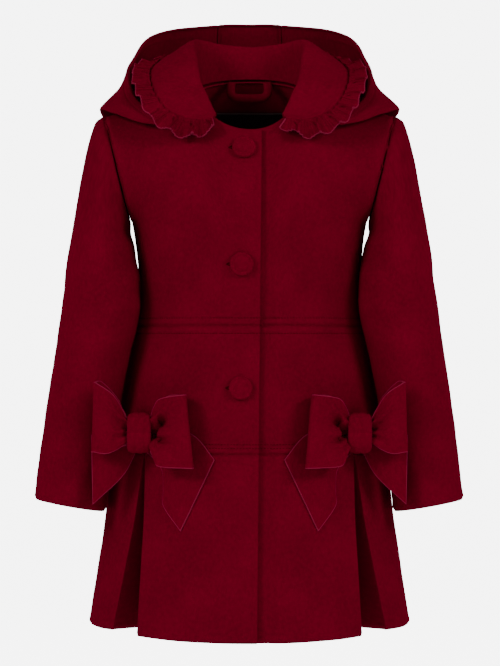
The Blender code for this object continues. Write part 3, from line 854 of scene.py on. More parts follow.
for name, under in (("skirt_front_right", False), ("skirt_front_left", True)):
    cloth(
        name + "_cloth",
        name,
        lines(-1, 0, 0.010, 0.0016)[:-1] + lines(0, 1, 0.13, 0.0028)[:-1] + INTO_PLEAT,
        SKIRT_HEIGHTS,
        lambda place, height: skirt_front(place, height, under),
        mirrored=not under,
        relief=panel_relief,
        seams=SKIRT_SEAMS,
    )
SIDE_HALF = lines(0, 1, 0.11, 0.0028)[:-1] + INTO_PLEAT
for name, mirrored in (("skirt_side_right", True), ("skirt_side_left", False)):
    cloth(
        name + "_cloth",
        name,
        whole(SIDE_HALF),
        SKIRT_HEIGHTS,
        lambda place, height: side_panel_point(place, hung(height, SIDE_RISE)),
        mirrored=mirrored,
        relief=panel_relief,
        seams=SKIRT_SEAMS,
    )


def skirt_back(place, height):
    point = centre_panel_point(abs(place), hung(height, centre_rise(abs(place))), True)
    point.x = math.copysign(point.x, place)
    return point


cloth(
    "skirt_back_cloth",
    "skirt_back",
    whole(lines(0, 1, 0.13, 0.0028)[:-1] + INTO_PLEAT),
    SKIRT_HEIGHTS,
    skirt_back,
    flipped=True,
    relief=panel_relief,
    seams=SKIRT_SEAMS,
)
print("skirt cut", {name: size for name, size in cut_sizes.items() if "skirt" in name})

# %% [markdown]
# ## Sleeves
# A set-in sleeve is a tube that starts as the armhole's outline and ends as a round cuff. It
# bends forward a little at the elbow. The cloth pulls from the armpit, and creases cross the
# inside of the elbow.

# %% Sleeve sections
SLEEVE_SEAM = 0.0014
Section = namedtuple("Section", "step outer_x outer_z inner_x inner_z depth centre_y")
SLEEVE = (
    Section(0.0, SHOULDER_HALF_WIDTH, SHOULDER_HEIGHT, ARMPIT_HALF_WIDTH, ARMPIT_HEIGHT, ARMHOLE_DEPTH, 0.0),
    Section(0.3, 0.1672, -0.0212, 0.1342, -0.1440, 0.0555, 0.000),
    Section(1.0, 0.1755, -0.0300, 0.1342, -0.1480, 0.0560, -0.001),
    Section(2.0, 0.1870, -0.0780, 0.1330, -0.1570, 0.0555, -0.006),
    Section(3.0, 0.1960, -0.1300, 0.1305, -0.1700, 0.0540, -0.014),
    Section(4.0, 0.2045, -0.1880, 0.1255, -0.1980, 0.0510, -0.028),
    Section(5.0, 0.2108, -0.2380, 0.1225, -0.2400, 0.0480, -0.037),
    Section(6.0, 0.2175, -0.2880, 0.1335, -0.2920, 0.0450, -0.041),
    Section(7.0, 0.2250, -0.3380, 0.1430, -0.3450, 0.0430, -0.043),
    Section(8.0, 0.2318, -0.3900, 0.1525, -0.4020, 0.0405, -0.044),
    Section(9.0, 0.2392, -0.4520, 0.1602, -0.4660, 0.0375, -0.044),
)


def sleeve_point(turn, step):
    """Point on the left sleeve, the turn in degrees from the outside through the front."""
    outer_x, outer_z, inner_x, inner_z, depth, centre_y = (
        read(SLEEVE, step, column) for column in Section._fields[1:]
    )
    outer = math.cos(math.radians(turn))
    x = (outer_x + inner_x) / 2 + (outer_x - inner_x) / 2 * outer
    z = (outer_z + inner_z) / 2 + (outer_z - inner_z) / 2 * outer
    return Vector((x + SLEEVE_SEAM, centre_y - depth * math.sin(math.radians(turn)), z))


# %% Sleeves
def sleeve_folds(turned):
    """Creases as (turn, step) at both ends, their width and depth. Turn 90 is the front."""
    spread = (
        (110, 1.4, 70, 2.6, 0.012, 0.0020),
        (150, 1.8, 95, 3.1, 0.011, 0.0018),
        (165, 3.4, 100, 4.3, 0.012, 0.0018),
        (160, 4.5, 80, 5.0, 0.010, 0.0022),
        (150, 5.2, 60, 5.6, 0.012, 0.0018),
        (120, 6.3, 40, 6.0, 0.015, 0.0012),
        (30, 3.9, 350, 4.8, 0.016, 0.0012),
        (200, 4.7, 270, 4.2, 0.013, 0.0018),
        (190, 2.2, 260, 3.2, 0.013, 0.0018),
        (250, 6.5, 320, 7.2, 0.016, 0.0012),
        (100, 7.4, 60, 8.4, 0.016, 0.0009),
    )
    sway = 7 if turned else -4
    side = -1 if turned else 1
    made = []
    for turn0, step0, turn1, step1, width, depth in spread:
        ends = [sleeve_point(turn0 + sway, step0), sleeve_point(turn1 + sway, step1)]
        for end in ends:
            end.x *= side
        made.append((*ends, width, depth))
    return made


CUFF_STITCH = 0.025
for name, mirrored in (("sleeve_right", True), ("sleeve_left", False)):
    folds = sleeve_folds(mirrored)
    cloth(
        name + "_cloth",
        name,
        between(0, 360, 104),
        lines(0, 9, 0.46, 0.0031, fine_low=True),
        sleeve_point,
        mirrored=mirrored,
        closed=True,
        relief=lambda point, turn, step: (fold_height(point, folds) + 1.6 * drape(point)) * ease(step / 0.5)
        + 0.0032 * math.exp(-(((turn - 160) / 34) ** 2) - ((step - 3.5) / 1.0) ** 2),
        seams={"low": (), "high": (CUFF_STITCH,)},
    )
print("sleeve cut", cut_sizes["sleeve_left_cloth"])

# %% [markdown]
# ## Collar
# The collar is sewn to the neckline, stands up round the back of the neck, rolls over and lies
# on the shoulders as two round leaves. Three lines describe it: the seam, the roll and the
# outer edge. Each is measured from the centre back to the front end, and mirrored.

# %% Collar lines
COLLAR_LIFT = 0.0016
Collar = namedtuple("Collar", "turn roll edge frill")
COLLAR = (
    Collar(0.00, (0.000, 0.060, 0.066), (0.000, 0.088, 0.042), (0.000, 0.103, 0.032)),
    Collar(0.20, (0.034, 0.055, 0.069), (0.046, 0.082, 0.045), (0.054, 0.096, 0.036)),
    Collar(0.38, (0.060, 0.034, 0.071), (0.084, 0.053, 0.059), (0.098, 0.062, 0.055)),
    Collar(0.52, (0.064, 0.002, 0.056), (0.109, 0.014, 0.041), (0.127, 0.010, 0.045)),
    Collar(0.64, (0.060, -0.032, 0.026), (0.112, -0.024, 0.025), (0.133, -0.030, 0.026)),
    Collar(0.76, (0.053, -0.048, 0.007), (0.105, -0.057, 0.002), (0.125, -0.065, 0.000)),
    Collar(0.86, (0.046, -0.056, -0.008), (0.090, -0.071, -0.018), (0.106, -0.081, -0.031)),
    Collar(0.94, (0.041, -0.061, -0.017), (0.066, -0.075, -0.028), (0.070, -0.086, -0.048)),
    Collar(1.00, (0.037, -0.064, -0.021), (0.041, -0.074, -0.027), (0.034, -0.084, -0.041)),
)
COLLAR_ROUND = both_sides(COLLAR)


def neck_edge(turn):
    """Point on the neckline, from the centre back (0) to the collar's front end (1 or -1)."""
    share = abs(turn)
    back = share <= 0.5
    if back:
        x = NECK_HALF_WIDTH * math.sin(math.pi * share)
        height = NECK_POINT_HEIGHT + BACK_NECK_RISE * math.cos(math.pi * share)
    else:
        end = math.acos(COLLAR[-1].roll[0] / NECK_HALF_WIDTH)
        x = NECK_HALF_WIDTH * math.cos(end * (2 * share - 1))
        height = NECK_POINT_HEIGHT - FRONT_NECK_DROP * math.sin(end * (2 * share - 1))
    point = torso(math.degrees(math.asin(x / half_width(height))), height, back)
    point.x = math.copysign(point.x, turn)
    return point


def outward(point):
    return Vector((point.x, point.y, 0)).normalized()


def along_profile(points, place):
    """Point on a smooth curve through a profile's points, which lie at 0, 1, 2 and so on."""
    stop = namedtuple("Stop", "place at")
    return read([stop(index, tuple(point)) for index, point in enumerate(points)], place, "at")


SAMPLES = 400
MERGE = 1e-5


def even_turns(rows, column, low, high, count):
    """Turns that part a row of points into equal lengths."""
    fine = between(low, high, SAMPLES)
    points = [read(rows, turn, column) for turn in fine]
    lengths = [0.0]
    for before, after in zip(points, points[1:]):
        lengths.append(lengths[-1] + (after - before).length)
    wanted = between(0, lengths[-1], count)
    return [fine[min(SAMPLES, bisect_right(lengths, length - MERGE))] for length in wanted[:-1]] + [high]


def collar_point(turn, place):
    """Point on the collar: its seam at 0, its roll at 1 and its outer edge at 2."""
    seam = neck_edge(turn) + Vector((0, 0, COLLAR_LIFT))
    roll, edge = read(COLLAR_ROUND, turn, "roll"), read(COLLAR_ROUND, turn, "edge")
    return along_profile((seam, roll, edge), place)


# %% Collar
COLLAR_FOLDS = [
    (Vector((0.062, -0.040, 0.016)), Vector((0.078, -0.060, 0.0)), 0.010, 0.0012),
    (Vector((-0.060, -0.042, 0.014)), Vector((-0.080, -0.056, 0.002)), 0.011, 0.0011),
]
cloth(
    "collar_cloth",
    "collar",
    even_turns(COLLAR_ROUND, "edge", -1, 1, 230),
    lines(0, 2, 0.065, 0.0016, fine_high=True),
    collar_point,
    relief=lambda point, *_: fold_height(point, COLLAR_FOLDS) + 0.8 * drape(point),
    seams={"high": (0.0052,)},
    held="folded",
)
print("collar cut", cut_sizes["collar_cloth"])

# %% [markdown]
# ## Ruffle
# A strip about twice as long as the collar's edge is gathered and sewn round it. Near the
# seam it is crowded into small tucks, and towards its free edge these open into waves. No two
# waves are alike, so each has its own height and lean.

# %% Ruffle
FRILL_SEAM = 0.0011
TURN_STEP = 0.01
WAVES = 29
FRILL_COLUMNS = 960
FRILL_TURNS = even_turns(COLLAR_ROUND, "frill", -1, 1, FRILL_COLUMNS)


def frill_point(column, place):
    """Point on the ruffle, from the collar's edge (0) to the free edge (1)."""
    turn, share = column
    edge, free = read(COLLAR_ROUND, turn, "edge"), read(COLLAR_ROUND, turn, "frill")
    ahead, behind = min(1, turn + TURN_STEP), max(-1, turn - TURN_STEP)
    tangent = read(COLLAR_ROUND, ahead, "edge") - read(COLLAR_ROUND, behind, "edge")
    out = (free - edge).normalized()
    across = tangent.cross(out).normalized()
    wave = share * WAVES + 0.42 * noise.noise(Vector((share * 18.0, 2.5, 0.0)))
    strength = 1 + 0.55 * noise.noise(Vector((math.floor(wave) * 1.7, 4.0, 1.0)))
    angle = 2 * math.pi * wave
    open_wave = math.sin(angle) + 0.28 * math.sin(2 * angle + 0.8)
    tuck = math.sin(2 * angle + 1.1) * (1 - ease(place / 0.55))
    strength *= 1 + 0.5 * ease((abs(turn) - 0.80) / 0.12)
    swing = 0.0031 * strength * open_wave * place ** 0.8 + 0.0009 * tuck
    lean = tangent.normalized() * 0.0016 * math.cos(angle) * place * strength
    start = edge + out * FRILL_SEAM
    reach = 1 - 0.05 * abs(math.cos(angle)) * place - 0.30 * ease((abs(turn) - 0.965) / 0.035)
    sag = Vector((0, 0, -0.0075 * place * ease((0.56 - abs(turn)) / 0.16)))
    return start + (free - start) * place * reach + across * swing + lean + sag


cloth(
    "ruffle_cloth",
    "ruffle",
    [(turn, column / FRILL_COLUMNS) for column, turn in enumerate(FRILL_TURNS)],
    [0.0, 0.03, 0.08, 0.15, 0.24, 0.34, 0.45, 0.56, 0.67, 0.77, 0.86, 0.92, 0.96, 1.0],
    frill_point,
    wall=FRILL_WALL,
    material=trim_wool,
    cut="high left right",
    held="gathered",
    rests_on="collar_cloth",
)
print("ruffle cut", cut_sizes["ruffle_cloth"])

# %% [markdown]
# ## Hood
# The hood lies thrown back: two side panels and a centre strip, sewn together along two
# curved seams. It leaves the neckline under the collar, sags behind the shoulders, folds and
# rises to its rim. Five lines describe it, from the root to the rim.

# %% Hood lines
HOOD_END = 0.90
GUSSET_END = 0.15
HOOD_ROOT_OUT = 0.0042
HOOD_ROOT_LIFT = 0.0008
HOOD_FRONT_DROP = 0.0095
HOOD_DROP_START = 0.55
HOOD_DROP_LENGTH = 0.30
NECK_ARC = 0.28
Hood = namedtuple("Hood", "turn under fold bulge rim")
HOOD = (
    Hood(0.00, (0.000, 0.084, -0.015), (0.000, 0.122, -0.105), (0.000, 0.166, -0.030), (0.0000, 0.112, 0.0994)),
    Hood(0.15, (0.040, 0.079, -0.015), (0.042, 0.120, -0.104), (0.044, 0.163, -0.028), (0.0383, 0.111, 0.0985)),
    Hood(0.38, (0.090, 0.055, -0.004), (0.122, 0.100, -0.078), (0.138, 0.114, 0.000), (0.1130, 0.076, 0.0835)),
    Hood(0.56, (0.114, 0.022, 0.006), (0.170, 0.026, -0.014), (0.1480, 0.032, 0.016), (0.1370, 0.036, 0.0450)),
    Hood(0.70, (0.108, -0.011, -0.001), (0.152, -0.024, -0.018), (0.147, -0.027, -0.005), (0.1310, -0.012, 0.0060)),
    Hood(0.82, (0.085, -0.031, -0.005), (0.122, -0.051, -0.029), (0.119, -0.056, -0.022), (0.1100, -0.050, -0.0140)),
    Hood(0.90, (0.072, -0.0520, -0.022), (0.100, -0.060, -0.034), (0.098, -0.0655, -0.029), (0.0900, -0.0605, -0.0220)),
)
HOOD_ROUND = both_sides(HOOD)


def hood_point(turn, place):
    """Point on the hood: its root at 0, then under, fold, bulge and rim at 1 to 4."""
    neck = neck_edge(turn)
    drop = HOOD_FRONT_DROP * ease((abs(turn) - HOOD_DROP_START) / HOOD_DROP_LENGTH)
    root = neck + outward(neck) * HOOD_ROOT_OUT + Vector((0, 0, HOOD_ROOT_LIFT - drop))
    rest = [read(HOOD_ROUND, turn, column) for column in Hood._fields[1:]]
    return along_profile([root] + rest, place)


# %% Hood
HOOD_FOLDS = [
    (Vector((-0.125, 0.060, 0.060)), Vector((-0.150, 0.045, 0.010)), 0.013, 0.0020),
    (Vector((0.128, 0.058, 0.062)), Vector((0.149, 0.040, 0.012)), 0.014, 0.0018),
    (Vector((-0.060, 0.150, 0.010)), Vector((-0.095, 0.120, -0.070)), 0.016, 0.0024),
    (Vector((0.052, 0.156, 0.000)), Vector((0.100, 0.118, -0.075)), 0.017, 0.0022),
    (Vector((-0.100, 0.010, -0.004)), Vector((-0.150, 0.000, -0.010)), 0.010, 0.0016),
    (Vector((0.104, 0.006, -0.004)), Vector((0.152, -0.004, -0.012)), 0.011, 0.0015),
]


def hood_relief(point, *_):
    return fold_height(point, HOOD_FOLDS) + 1.8 * drape(point * 0.9)


HOOD_PLACES = lines(0, 4, 0.27, 0.0034, fine_high=True)
gap = SEAM / 2 / NECK_ARC
RIM_STITCH = 0.0125
cloth(
    "hood_centre_cloth",
    "hood_centre",
    [share * (GUSSET_END - gap) for share in lines(-1, 1, 0.085, 0.0028, fine_low=True, fine_high=True)],
    HOOD_PLACES,
    hood_point,
    flipped=True,
    relief=hood_relief,
    seams={"left": (0.0068,), "right": (0.0068,), "high": (RIM_STITCH,)},
    rests_on="bodice_back_cloth",
)
side_turns = even_turns(HOOD_ROUND, "bulge", GUSSET_END + gap, HOOD_END, 96)
side_turns[1:1] = [side_turns[0] + (side_turns[1] - side_turns[0]) * share for share in (0.2, 0.45, 0.7)]
for name, mirrored in (("hood_side_right", True), ("hood_side_left", False)):
    cloth(
        name + "_cloth",
        name,
        side_turns,
        HOOD_PLACES,
        hood_point,
        mirrored=mirrored,
        flipped=True,
        relief=hood_relief,
        seams={"left": (0.0068,), "high": (RIM_STITCH,)},
        rests_on="bodice_back_cloth",
    )
print("hood cut", cut_sizes["hood_centre_cloth"], cut_sizes["hood_side_left_cloth"])

# %% [markdown]
# ## Inside the neck
# Two small things are sewn inside the back of the neck: a loop to hang the coat by, rolled
# from the same wool, and a woven label. The label is left bare, with only a pale woven line
# along its border.

# %% Label
LABEL_HALF_WIDTH = 0.038
LABEL_TOP = -0.0095
LABEL_BOTTOM = -0.0300
LABEL_INSET = 0.0044


def label_point(x, height):
    face = mirrored_back(math.degrees(math.asin(x / half_width(height))), height)
    return face - Vector((0, LABEL_INSET, 0))


label_satin = bpy.data.materials.new("label_satin")
label_satin.use_nodes = True
tree = label_satin.node_tree
shader = tree.nodes["Principled BSDF"]
shader.inputs["Roughness"].default_value = 0.55
shader.inputs["Specular IOR Level"].default_value = 0.08
uv = add_node(tree, "UVMap", uv_map="Cloth")
weave = add_node(tree, "TexWave", [("Scale", 900.0), ("Distortion", 0.4)], bands_direction="Y")
distance = add_node(tree, "Attribute", attribute_name="edge_distance")
smooth = {"interpolation_type": "SMOOTHSTEP"}
line = add_node(tree, "MapRange", [("From Min", 0.0009), ("From Max", 0.0007)], **smooth)
border = add_node(tree, "MapRange", [("From Min", 0.0017), ("From Max", 0.0015)], **smooth)
inner = add_node(tree, "Math", [(0, 1.0)], operation="SUBTRACT")
between_lines = add_node(tree, "Math", operation="MULTIPLY")
dark_thread, light_thread = (0.0045, 0.0008, 0.0014, 1), (0.0100, 0.0016, 0.0032, 1)
thread = add_node(tree, "Mix", [(6, dark_thread), (7, light_thread)], data_type="RGBA")
lined = add_node(tree, "Mix", [(7, (0.16, 0.10, 0.10, 1))], data_type="RGBA")
ribs = add_node(tree, "Bump", [("Strength", 0.6), ("Distance", 0.0001)])
wire(
    tree,
    (uv.outputs[0], weave.inputs[0]),
    (weave.outputs[1], thread.inputs[0]),
    (distance.outputs["Fac"], line.inputs[0]),
    (distance.outputs["Fac"], border.inputs[0]),
    (line.outputs[0], inner.inputs[1]),
    (border.outputs[0], between_lines.inputs[0]),
    (inner.outputs[0], between_lines.inputs[1]),
    (between_lines.outputs[0], lined.inputs[0]),
    (thread.outputs[2], lined.inputs[6]),
    (lined.outputs[2], shader.inputs["Base Color"]),
    (weave.outputs[1], ribs.inputs["Height"]),
    (ribs.outputs[0], shader.inputs["Normal"]),
)
cloth(
    "neck_label_cloth",
    "neck_label",
    lines(-LABEL_HALF_WIDTH, LABEL_HALF_WIDTH, 0.076, 0.0015, fine_low=True, fine_high=True),
    lines(LABEL_BOTTOM, LABEL_TOP, 0.0206, 0.0004),
    label_point,
    wall=LABEL_WALL,
    relief=lambda point, *_: 0.5 * drape(point),
    cut="high",
    material=label_satin,
    slot="label",
    held="stretched",
    rests_on="bodice_back_cloth",
)
print("label cut", cut_sizes["neck_label_cloth"])

# %% Hanging loop
LOOP_RADIUS = 0.0036
HANGING_LOOP = (
    (-0.0205, 0.0424, 0.0236),
    (-0.0215, 0.0400, 0.0135),
    (-0.0190, 0.0378, 0.0075),
    (-0.0120, 0.0370, 0.0045),
)
LOOP_POINTS = [Vector(at) for at in HANGING_LOOP] + [Vector((-x, y, z)) for x, y, z in reversed(HANGING_LOOP)]
stop = namedtuple("Stop", "place at")
LOOP_ROUTE = tuple(stop(index, tuple(at)) for index, at in enumerate(LOOP_POINTS))


def loop_point(turn, place):
    """Point on a flattened roll of cloth; its fold runs along the outer side."""
    centre = read(LOOP_ROUTE, place, "at")
    ahead = read(LOOP_ROUTE, min(7, place + 0.05), "at") - read(LOOP_ROUTE, max(0, place - 0.05), "at")
    along = ahead.normalized()
    front = Vector((0, -1, 0))
    side = along.cross(front).normalized()
    end = min(place, 7 - place)
    flat = 1 - 0.35 * (1 - ease(end / 0.8))
    radius = LOOP_RADIUS * (1 + 0.05 * math.sin(3 * math.radians(turn) + place))
    out = side * math.cos(math.radians(turn)) * 1.12 + front * math.sin(math.radians(turn)) * 0.86 * flat
    return centre + out * radius


cloth(
    "hanging_loop_cloth",
    "hanging_loop",
    between(0, 360, 28),
    between(0, 7, 90),
    loop_point,
    wall=0.0012,
    closed=True,
    flipped=False,
    material=trim_wool,
    relief=lambda point, *_: 0.8 * drape(point * 2),
    held="folded",
    rests_on="bodice_back_cloth",
)
print("loop cut", cut_sizes["hanging_loop_cloth"])

# %% [markdown]
# ## Buttons
# The three buttons are covered with the coat's wool: cloth pulled over a shallow dome, with a
# sunken ring near its rim and small tucks where it goes round the edge. One is shaped from a
# cylinder: the top is inset and lifted in steps, the ring is pushed down, and a subdivision
# rounds it all. It is then copied to the three places.

# %% One button
BUTTON_RADIUS = 0.0133
BUTTON_HEIGHT = 0.0056
BUTTON_LIFT = 0.0007
BUTTONS = (
    ("button_top", -0.0060, -0.0600),
    ("button_middle", -0.0085, -0.1900),
    ("button_bottom", -0.0095, -0.3265),
)


def select_faces(mesh_object, wanted):
    """Selects the faces for which wanted(face) is true, in edit mode."""
    work = bmesh.from_edit_mesh(mesh_object.data)
    for face in work.faces:
        face.select_set(False)
    for face in work.faces:
        if wanted(face):
            face.select_set(True)
    work.select_flush_mode()
    bmesh.update_edit_mesh(mesh_object.data)


bpy.ops.object.select_all(action="DESELECT")
bpy.ops.mesh.primitive_cylinder_add(
    vertices=64,
    radius=BUTTON_RADIUS,
    depth=BUTTON_HEIGHT * 0.55,
    end_fill_type="NGON",
)
button = bpy.context.object
button.name = "covered_button"
bpy.ops.object.mode_set(mode="EDIT")
bpy.context.tool_settings.mesh_select_mode = (False, False, True)
select_faces(button, lambda face: face.normal.z > 0.9)
button_rings = (
    (0.0009, 0.0011),
    (0.0014, 0.0005),
    (0.0013, -0.0007),
    (0.0009, 0.0),
    (0.0013, 0.0009),
    (0.0025, 0.0005),
    (0.0025, 0.0002),
)
for inset, lift in button_rings:
    bpy.ops.mesh.inset(thickness=inset, depth=0.0)
    bpy.ops.transform.translate(value=(0, 0, lift))
select_faces(button, lambda face: face.normal.z < -0.9)
bpy.ops.mesh.inset(thickness=0.0016, depth=0.0)
bpy.ops.transform.translate(value=(0, 0, -0.0005))
bpy.ops.object.mode_set(mode="OBJECT")
rounding = button.modifiers.new("Rounding", "SUBSURF")
rounding.levels = rounding.render_levels = 2
bpy.ops.object.modifier_apply(modifier=rounding.name)
for vertex in button.data.vertices:
    out = math.hypot(vertex.co.x, vertex.co.y)
    around = math.atan2(vertex.co.y, vertex.co.x)
    rim_share = ease((out - 0.0080) / 0.004)
    vertex.co.z += 0.00012 * rim_share * math.sin(23 * around + 2 * math.sin(3 * around))
    vertex.co.z += 0.00010 * noise.noise(vertex.co * 260)
print("one button has", len(button.data.polygons), "faces")


# %% [markdown]
# A finished piece keeps its place in its mesh, so each copy is turned to face forward, moved
# to the front and then has that applied. The cloth slopes, so each button tilts with it.

# %% Three buttons
def button_seat(x, height):
    """Where a button sits on the front, and how far it leans back."""
    face = torso(math.degrees(math.asin(x / half_width(height))), height)
    below, above = torso(0, height - BUTTON_RADIUS), torso(0, height + BUTTON_RADIUS)
    return face, math.atan2(above.y - below.y, above.z - below.z)


def flat_uv(made):
    """A UV map in metres seen from the front, and no cut edge."""
    layer = made.data.uv_layers.get("Cloth") or made.data.uv_layers.new(name="Cloth")
    for corner in made.data.loops:
        at = made.data.vertices[corner.vertex_index].co
        layer.data[corner.index].uv = (at.x, at.z)
    gap = made.data.attributes.new("edge_distance", "FLOAT", "POINT")
    gap.data.foreach_set("value", [FAR] * len(made.data.vertices))


for name, x, height in BUTTONS:
    copy = bpy.data.objects.new(name + "_cover", button.data.copy())
    bpy.context.scene.collection.objects.link(copy)
    face, lean = button_seat(x, height)
    copy.data.transform(Matrix.Rotation(1.3 * height * 20, 4, "Z"))
    seat = Matrix.Translation(face - Vector((0, BUTTON_LIFT + BUTTON_HEIGHT * 0.28, 0)))
    copy.data.transform(seat @ Matrix.Rotation(math.pi / 2 - lean, 4, "X"))
    flat_uv(copy)
    finish_piece(copy, button_wool, [name], 0)
bpy.data.objects.remove(button)
print("buttons at", [height for _, _, height in BUTTONS])

# %% [markdown]
# Behind each button lies a buttonhole, worked in thread: a long narrow ring of close stitches.
# Only the end that sticks out beside the button is seen.

# %% Buttonholes
HOLE_LENGTH, HOLE_WIDTH = 0.0250, 0.0026


def buttonhole(name, x, height):
    """A worked buttonhole: a row of thread turns laid round a slit."""
    work = bmesh.new()
    turns = 96
    for index in range(turns):
        angle = 2 * math.pi * index / turns
        flat = math.copysign(abs(math.cos(angle)) ** 0.35, math.cos(angle))
        px = x + flat * HOLE_LENGTH / 2
        pz = height + math.copysign(abs(math.sin(angle)) ** 0.8, math.sin(angle)) * HOLE_WIDTH / 2
        face = torso(math.degrees(math.asin(px / half_width(pz))), pz)
        turned = Matrix.Rotation(angle, 4, "Y")
        size = Matrix.Diagonal((0.0011, 0.0005, 0.00042, 1))
        place = Matrix.Translation(face - Vector((0, 0.0003, 0)))
        bmesh.ops.create_icosphere(work, subdivisions=1, radius=1, matrix=place @ turned @ size)
    data = bpy.data.meshes.new(name)
    work.to_mesh(data)
    work.free()
    made = bpy.data.objects.new(name, data)
    bpy.context.scene.collection.objects.link(made)
    flat_uv(made)
    finish_piece(made, thread_finish, [], 0)


THREAD_CRIMSON = (0.036, 0.00008, 0.0016)
thread_finish = wool(
    "thread",
    THREAD_CRIMSON,
    PALE_FIBRE_AND_HIGHLIGHT_CRIMSON,
    sheen=0.03,
    bump=0.00006,
    fibres=3000.0,
    rough=0.7,
)
for name, x, height in BUTTONS:
    buttonhole(name.replace("button", "buttonhole"), x - 0.0040, height)
print("three buttonholes", HOLE_LENGTH, "long")

# %% [markdown]
# ## Bows
# Each bow is one band of wool folded into two loops, with two tails cut on the slant behind
# it and a knot round the middle. The loops are described by the band's two edges as it leaves
# the knot, runs outward, folds and comes back. The band is gathered under the knot, so tucks
# spread from there and fade towards the fold.

# %% Bow cloth
KNOT_X = 0.1215
KNOT_HEIGHT = -0.3755
KNOT_LENGTH = 0.0240
KNOT_TALL = 0.0420
KNOT_THICK = 0.0230
KNOT_LIFT = 0.0034
BED_TURN = 0.1000
BED_REACH = 0.0450
BOW_BED = 0.0890
Band = namedtuple("Band", "step upper_out upper lower_out lower over")
OUTER_LOOP = (
    Band(0.0, 0.0125, 0.0120, 0.0125, -0.0100, 0.0075),
    Band(1.0, 0.0260, 0.0400, 0.0280, -0.0170, 0.0078),
    Band(2.0, 0.0419, 0.0560, 0.0440, -0.0215, 0.0095),
    Band(3.0, 0.0500, 0.0555, 0.0520, -0.0215, 0.0170),
    Band(4.0, 0.0465, 0.0545, 0.0490, -0.0213, 0.0260),
    Band(5.0, 0.0270, 0.0410, 0.0330, -0.0226, 0.0285),
    Band(6.0, 0.0125, 0.0150, 0.0125, -0.0125, 0.0190),
)
INNER_LOOP = (
    Band(0.0, -0.0125, 0.0120, -0.0125, -0.0120, 0.0072),
    Band(1.0, -0.0300, 0.0380, -0.0320, -0.0340, 0.0078),
    Band(2.0, -0.0470, 0.0415, -0.0555, -0.0375, 0.0090),
    Band(3.0, -0.0525, 0.0418, -0.0615, -0.0379, 0.0180),
    Band(4.0, -0.0480, 0.0419, -0.0560, -0.0379, 0.0280),
    Band(5.0, -0.0230, 0.0376, -0.0240, -0.0368, 0.0325),
    Band(5.55, -0.0165, 0.0290, -0.0175, -0.0325, 0.0300),
    Band(6.0, -0.0115, 0.0160, -0.0115, -0.0200, 0.0220),
)
OUTER_TAIL = (
    Band(0.0, 0.0010, 0.0000, 0.0010, -0.0160, 0.0026),
    Band(1.0, 0.0280, -0.0020, 0.0180, -0.0480, 0.0032),
    Band(2.0, 0.0535, -0.0030, 0.0518, -0.0803, 0.0040),
)
INNER_TAIL = (
    Band(0.0, -0.0010, 0.0000, -0.0010, -0.0160, 0.0026),
    Band(0.6, -0.0320, 0.0040, -0.0235, -0.0400, 0.0032),
    Band(1.0, -0.0480, 0.0030, -0.0262, -0.0640, 0.0034),
    Band(1.35, -0.0640, -0.0060, -0.0262, -0.0800, 0.0034),
    Band(2.0, -0.0831, -0.0292, -0.0459, -0.1076, 0.0028),
)


def bow_bed(x, height):
    """How far forward the cloth under a bow lies: on the front, then level past the side."""
    def front(at):
        return -torso(math.degrees(math.asin(at / half_width(height))), height).y

    if x <= BED_TURN:
        return front(x)
    share = ease((x - BED_TURN) / BED_REACH)
    return front(BED_TURN) * (1 - share) + BOW_BED * share


def band_point(rows, across, step):
    """Point on a bow's band, from its lower edge (0) to its upper edge (1)."""
    upper_out, upper, lower_out, lower, over = (read(rows, step, column) for column in Band._fields[1:])
    x = KNOT_X + lower_out + across * (upper_out - lower_out)
    height = KNOT_HEIGHT + lower + across * (upper - lower)
    return Vector((x, -bow_bed(x, height) - over, height))


# %% Gathers
def gather(spread, last, reach, tucks, phase):
    """Tucks near the knot at both ends of a band: their depth fades over a length of cloth."""

    def height(point, across, step):
        end = min(step, last - step) if last else step
        fade = max(0.0, 1 - end / reach)
        lean = across + 0.05 * math.sin(5 * step)
        wide = math.sin(2 * math.pi * tucks * lean + phase)
        wave = wide + 0.5 * math.sin(2 * math.pi * (tucks * 1.7) * lean + 1.3 + phase)
        return spread * wave * fade ** 1.2

    return height


def bow_relief(side, piece):
    """Relief of one piece of a bow; the two bows aren't gathered alike."""
    phase = 0.9 if side == "right" else 2.3
    loop = piece.endswith("loop")
    tucks = gather(0.0015 if loop else 0.0006, 6 if loop else 0, 1.9 if loop else 0.9, 3.2, phase + len(piece))

    def height(point, across, step):
        lift = tucks(point, across, step) + 1.6 * drape(point)
        if piece == "inner_loop" and step > 3.6:
            near = ease((step - 4.55) / 0.55)
            high = math.exp(-(((across - 0.66 + 0.10 * (step - 5)) / 0.085) ** 2))
            low = math.exp(-(((across - 0.40 - 0.06 * (step - 5)) / 0.055) ** 2))
            lift -= near * (0.0125 * high + 0.0085 * low)
        if piece == "outer_loop" and step > 3.2:
            pinch = ease((step - 3.6) / 1.6) * math.exp(-(((across - 0.55) / 0.12) ** 2))
            lift -= 0.0035 * pinch
        return lift

    return height


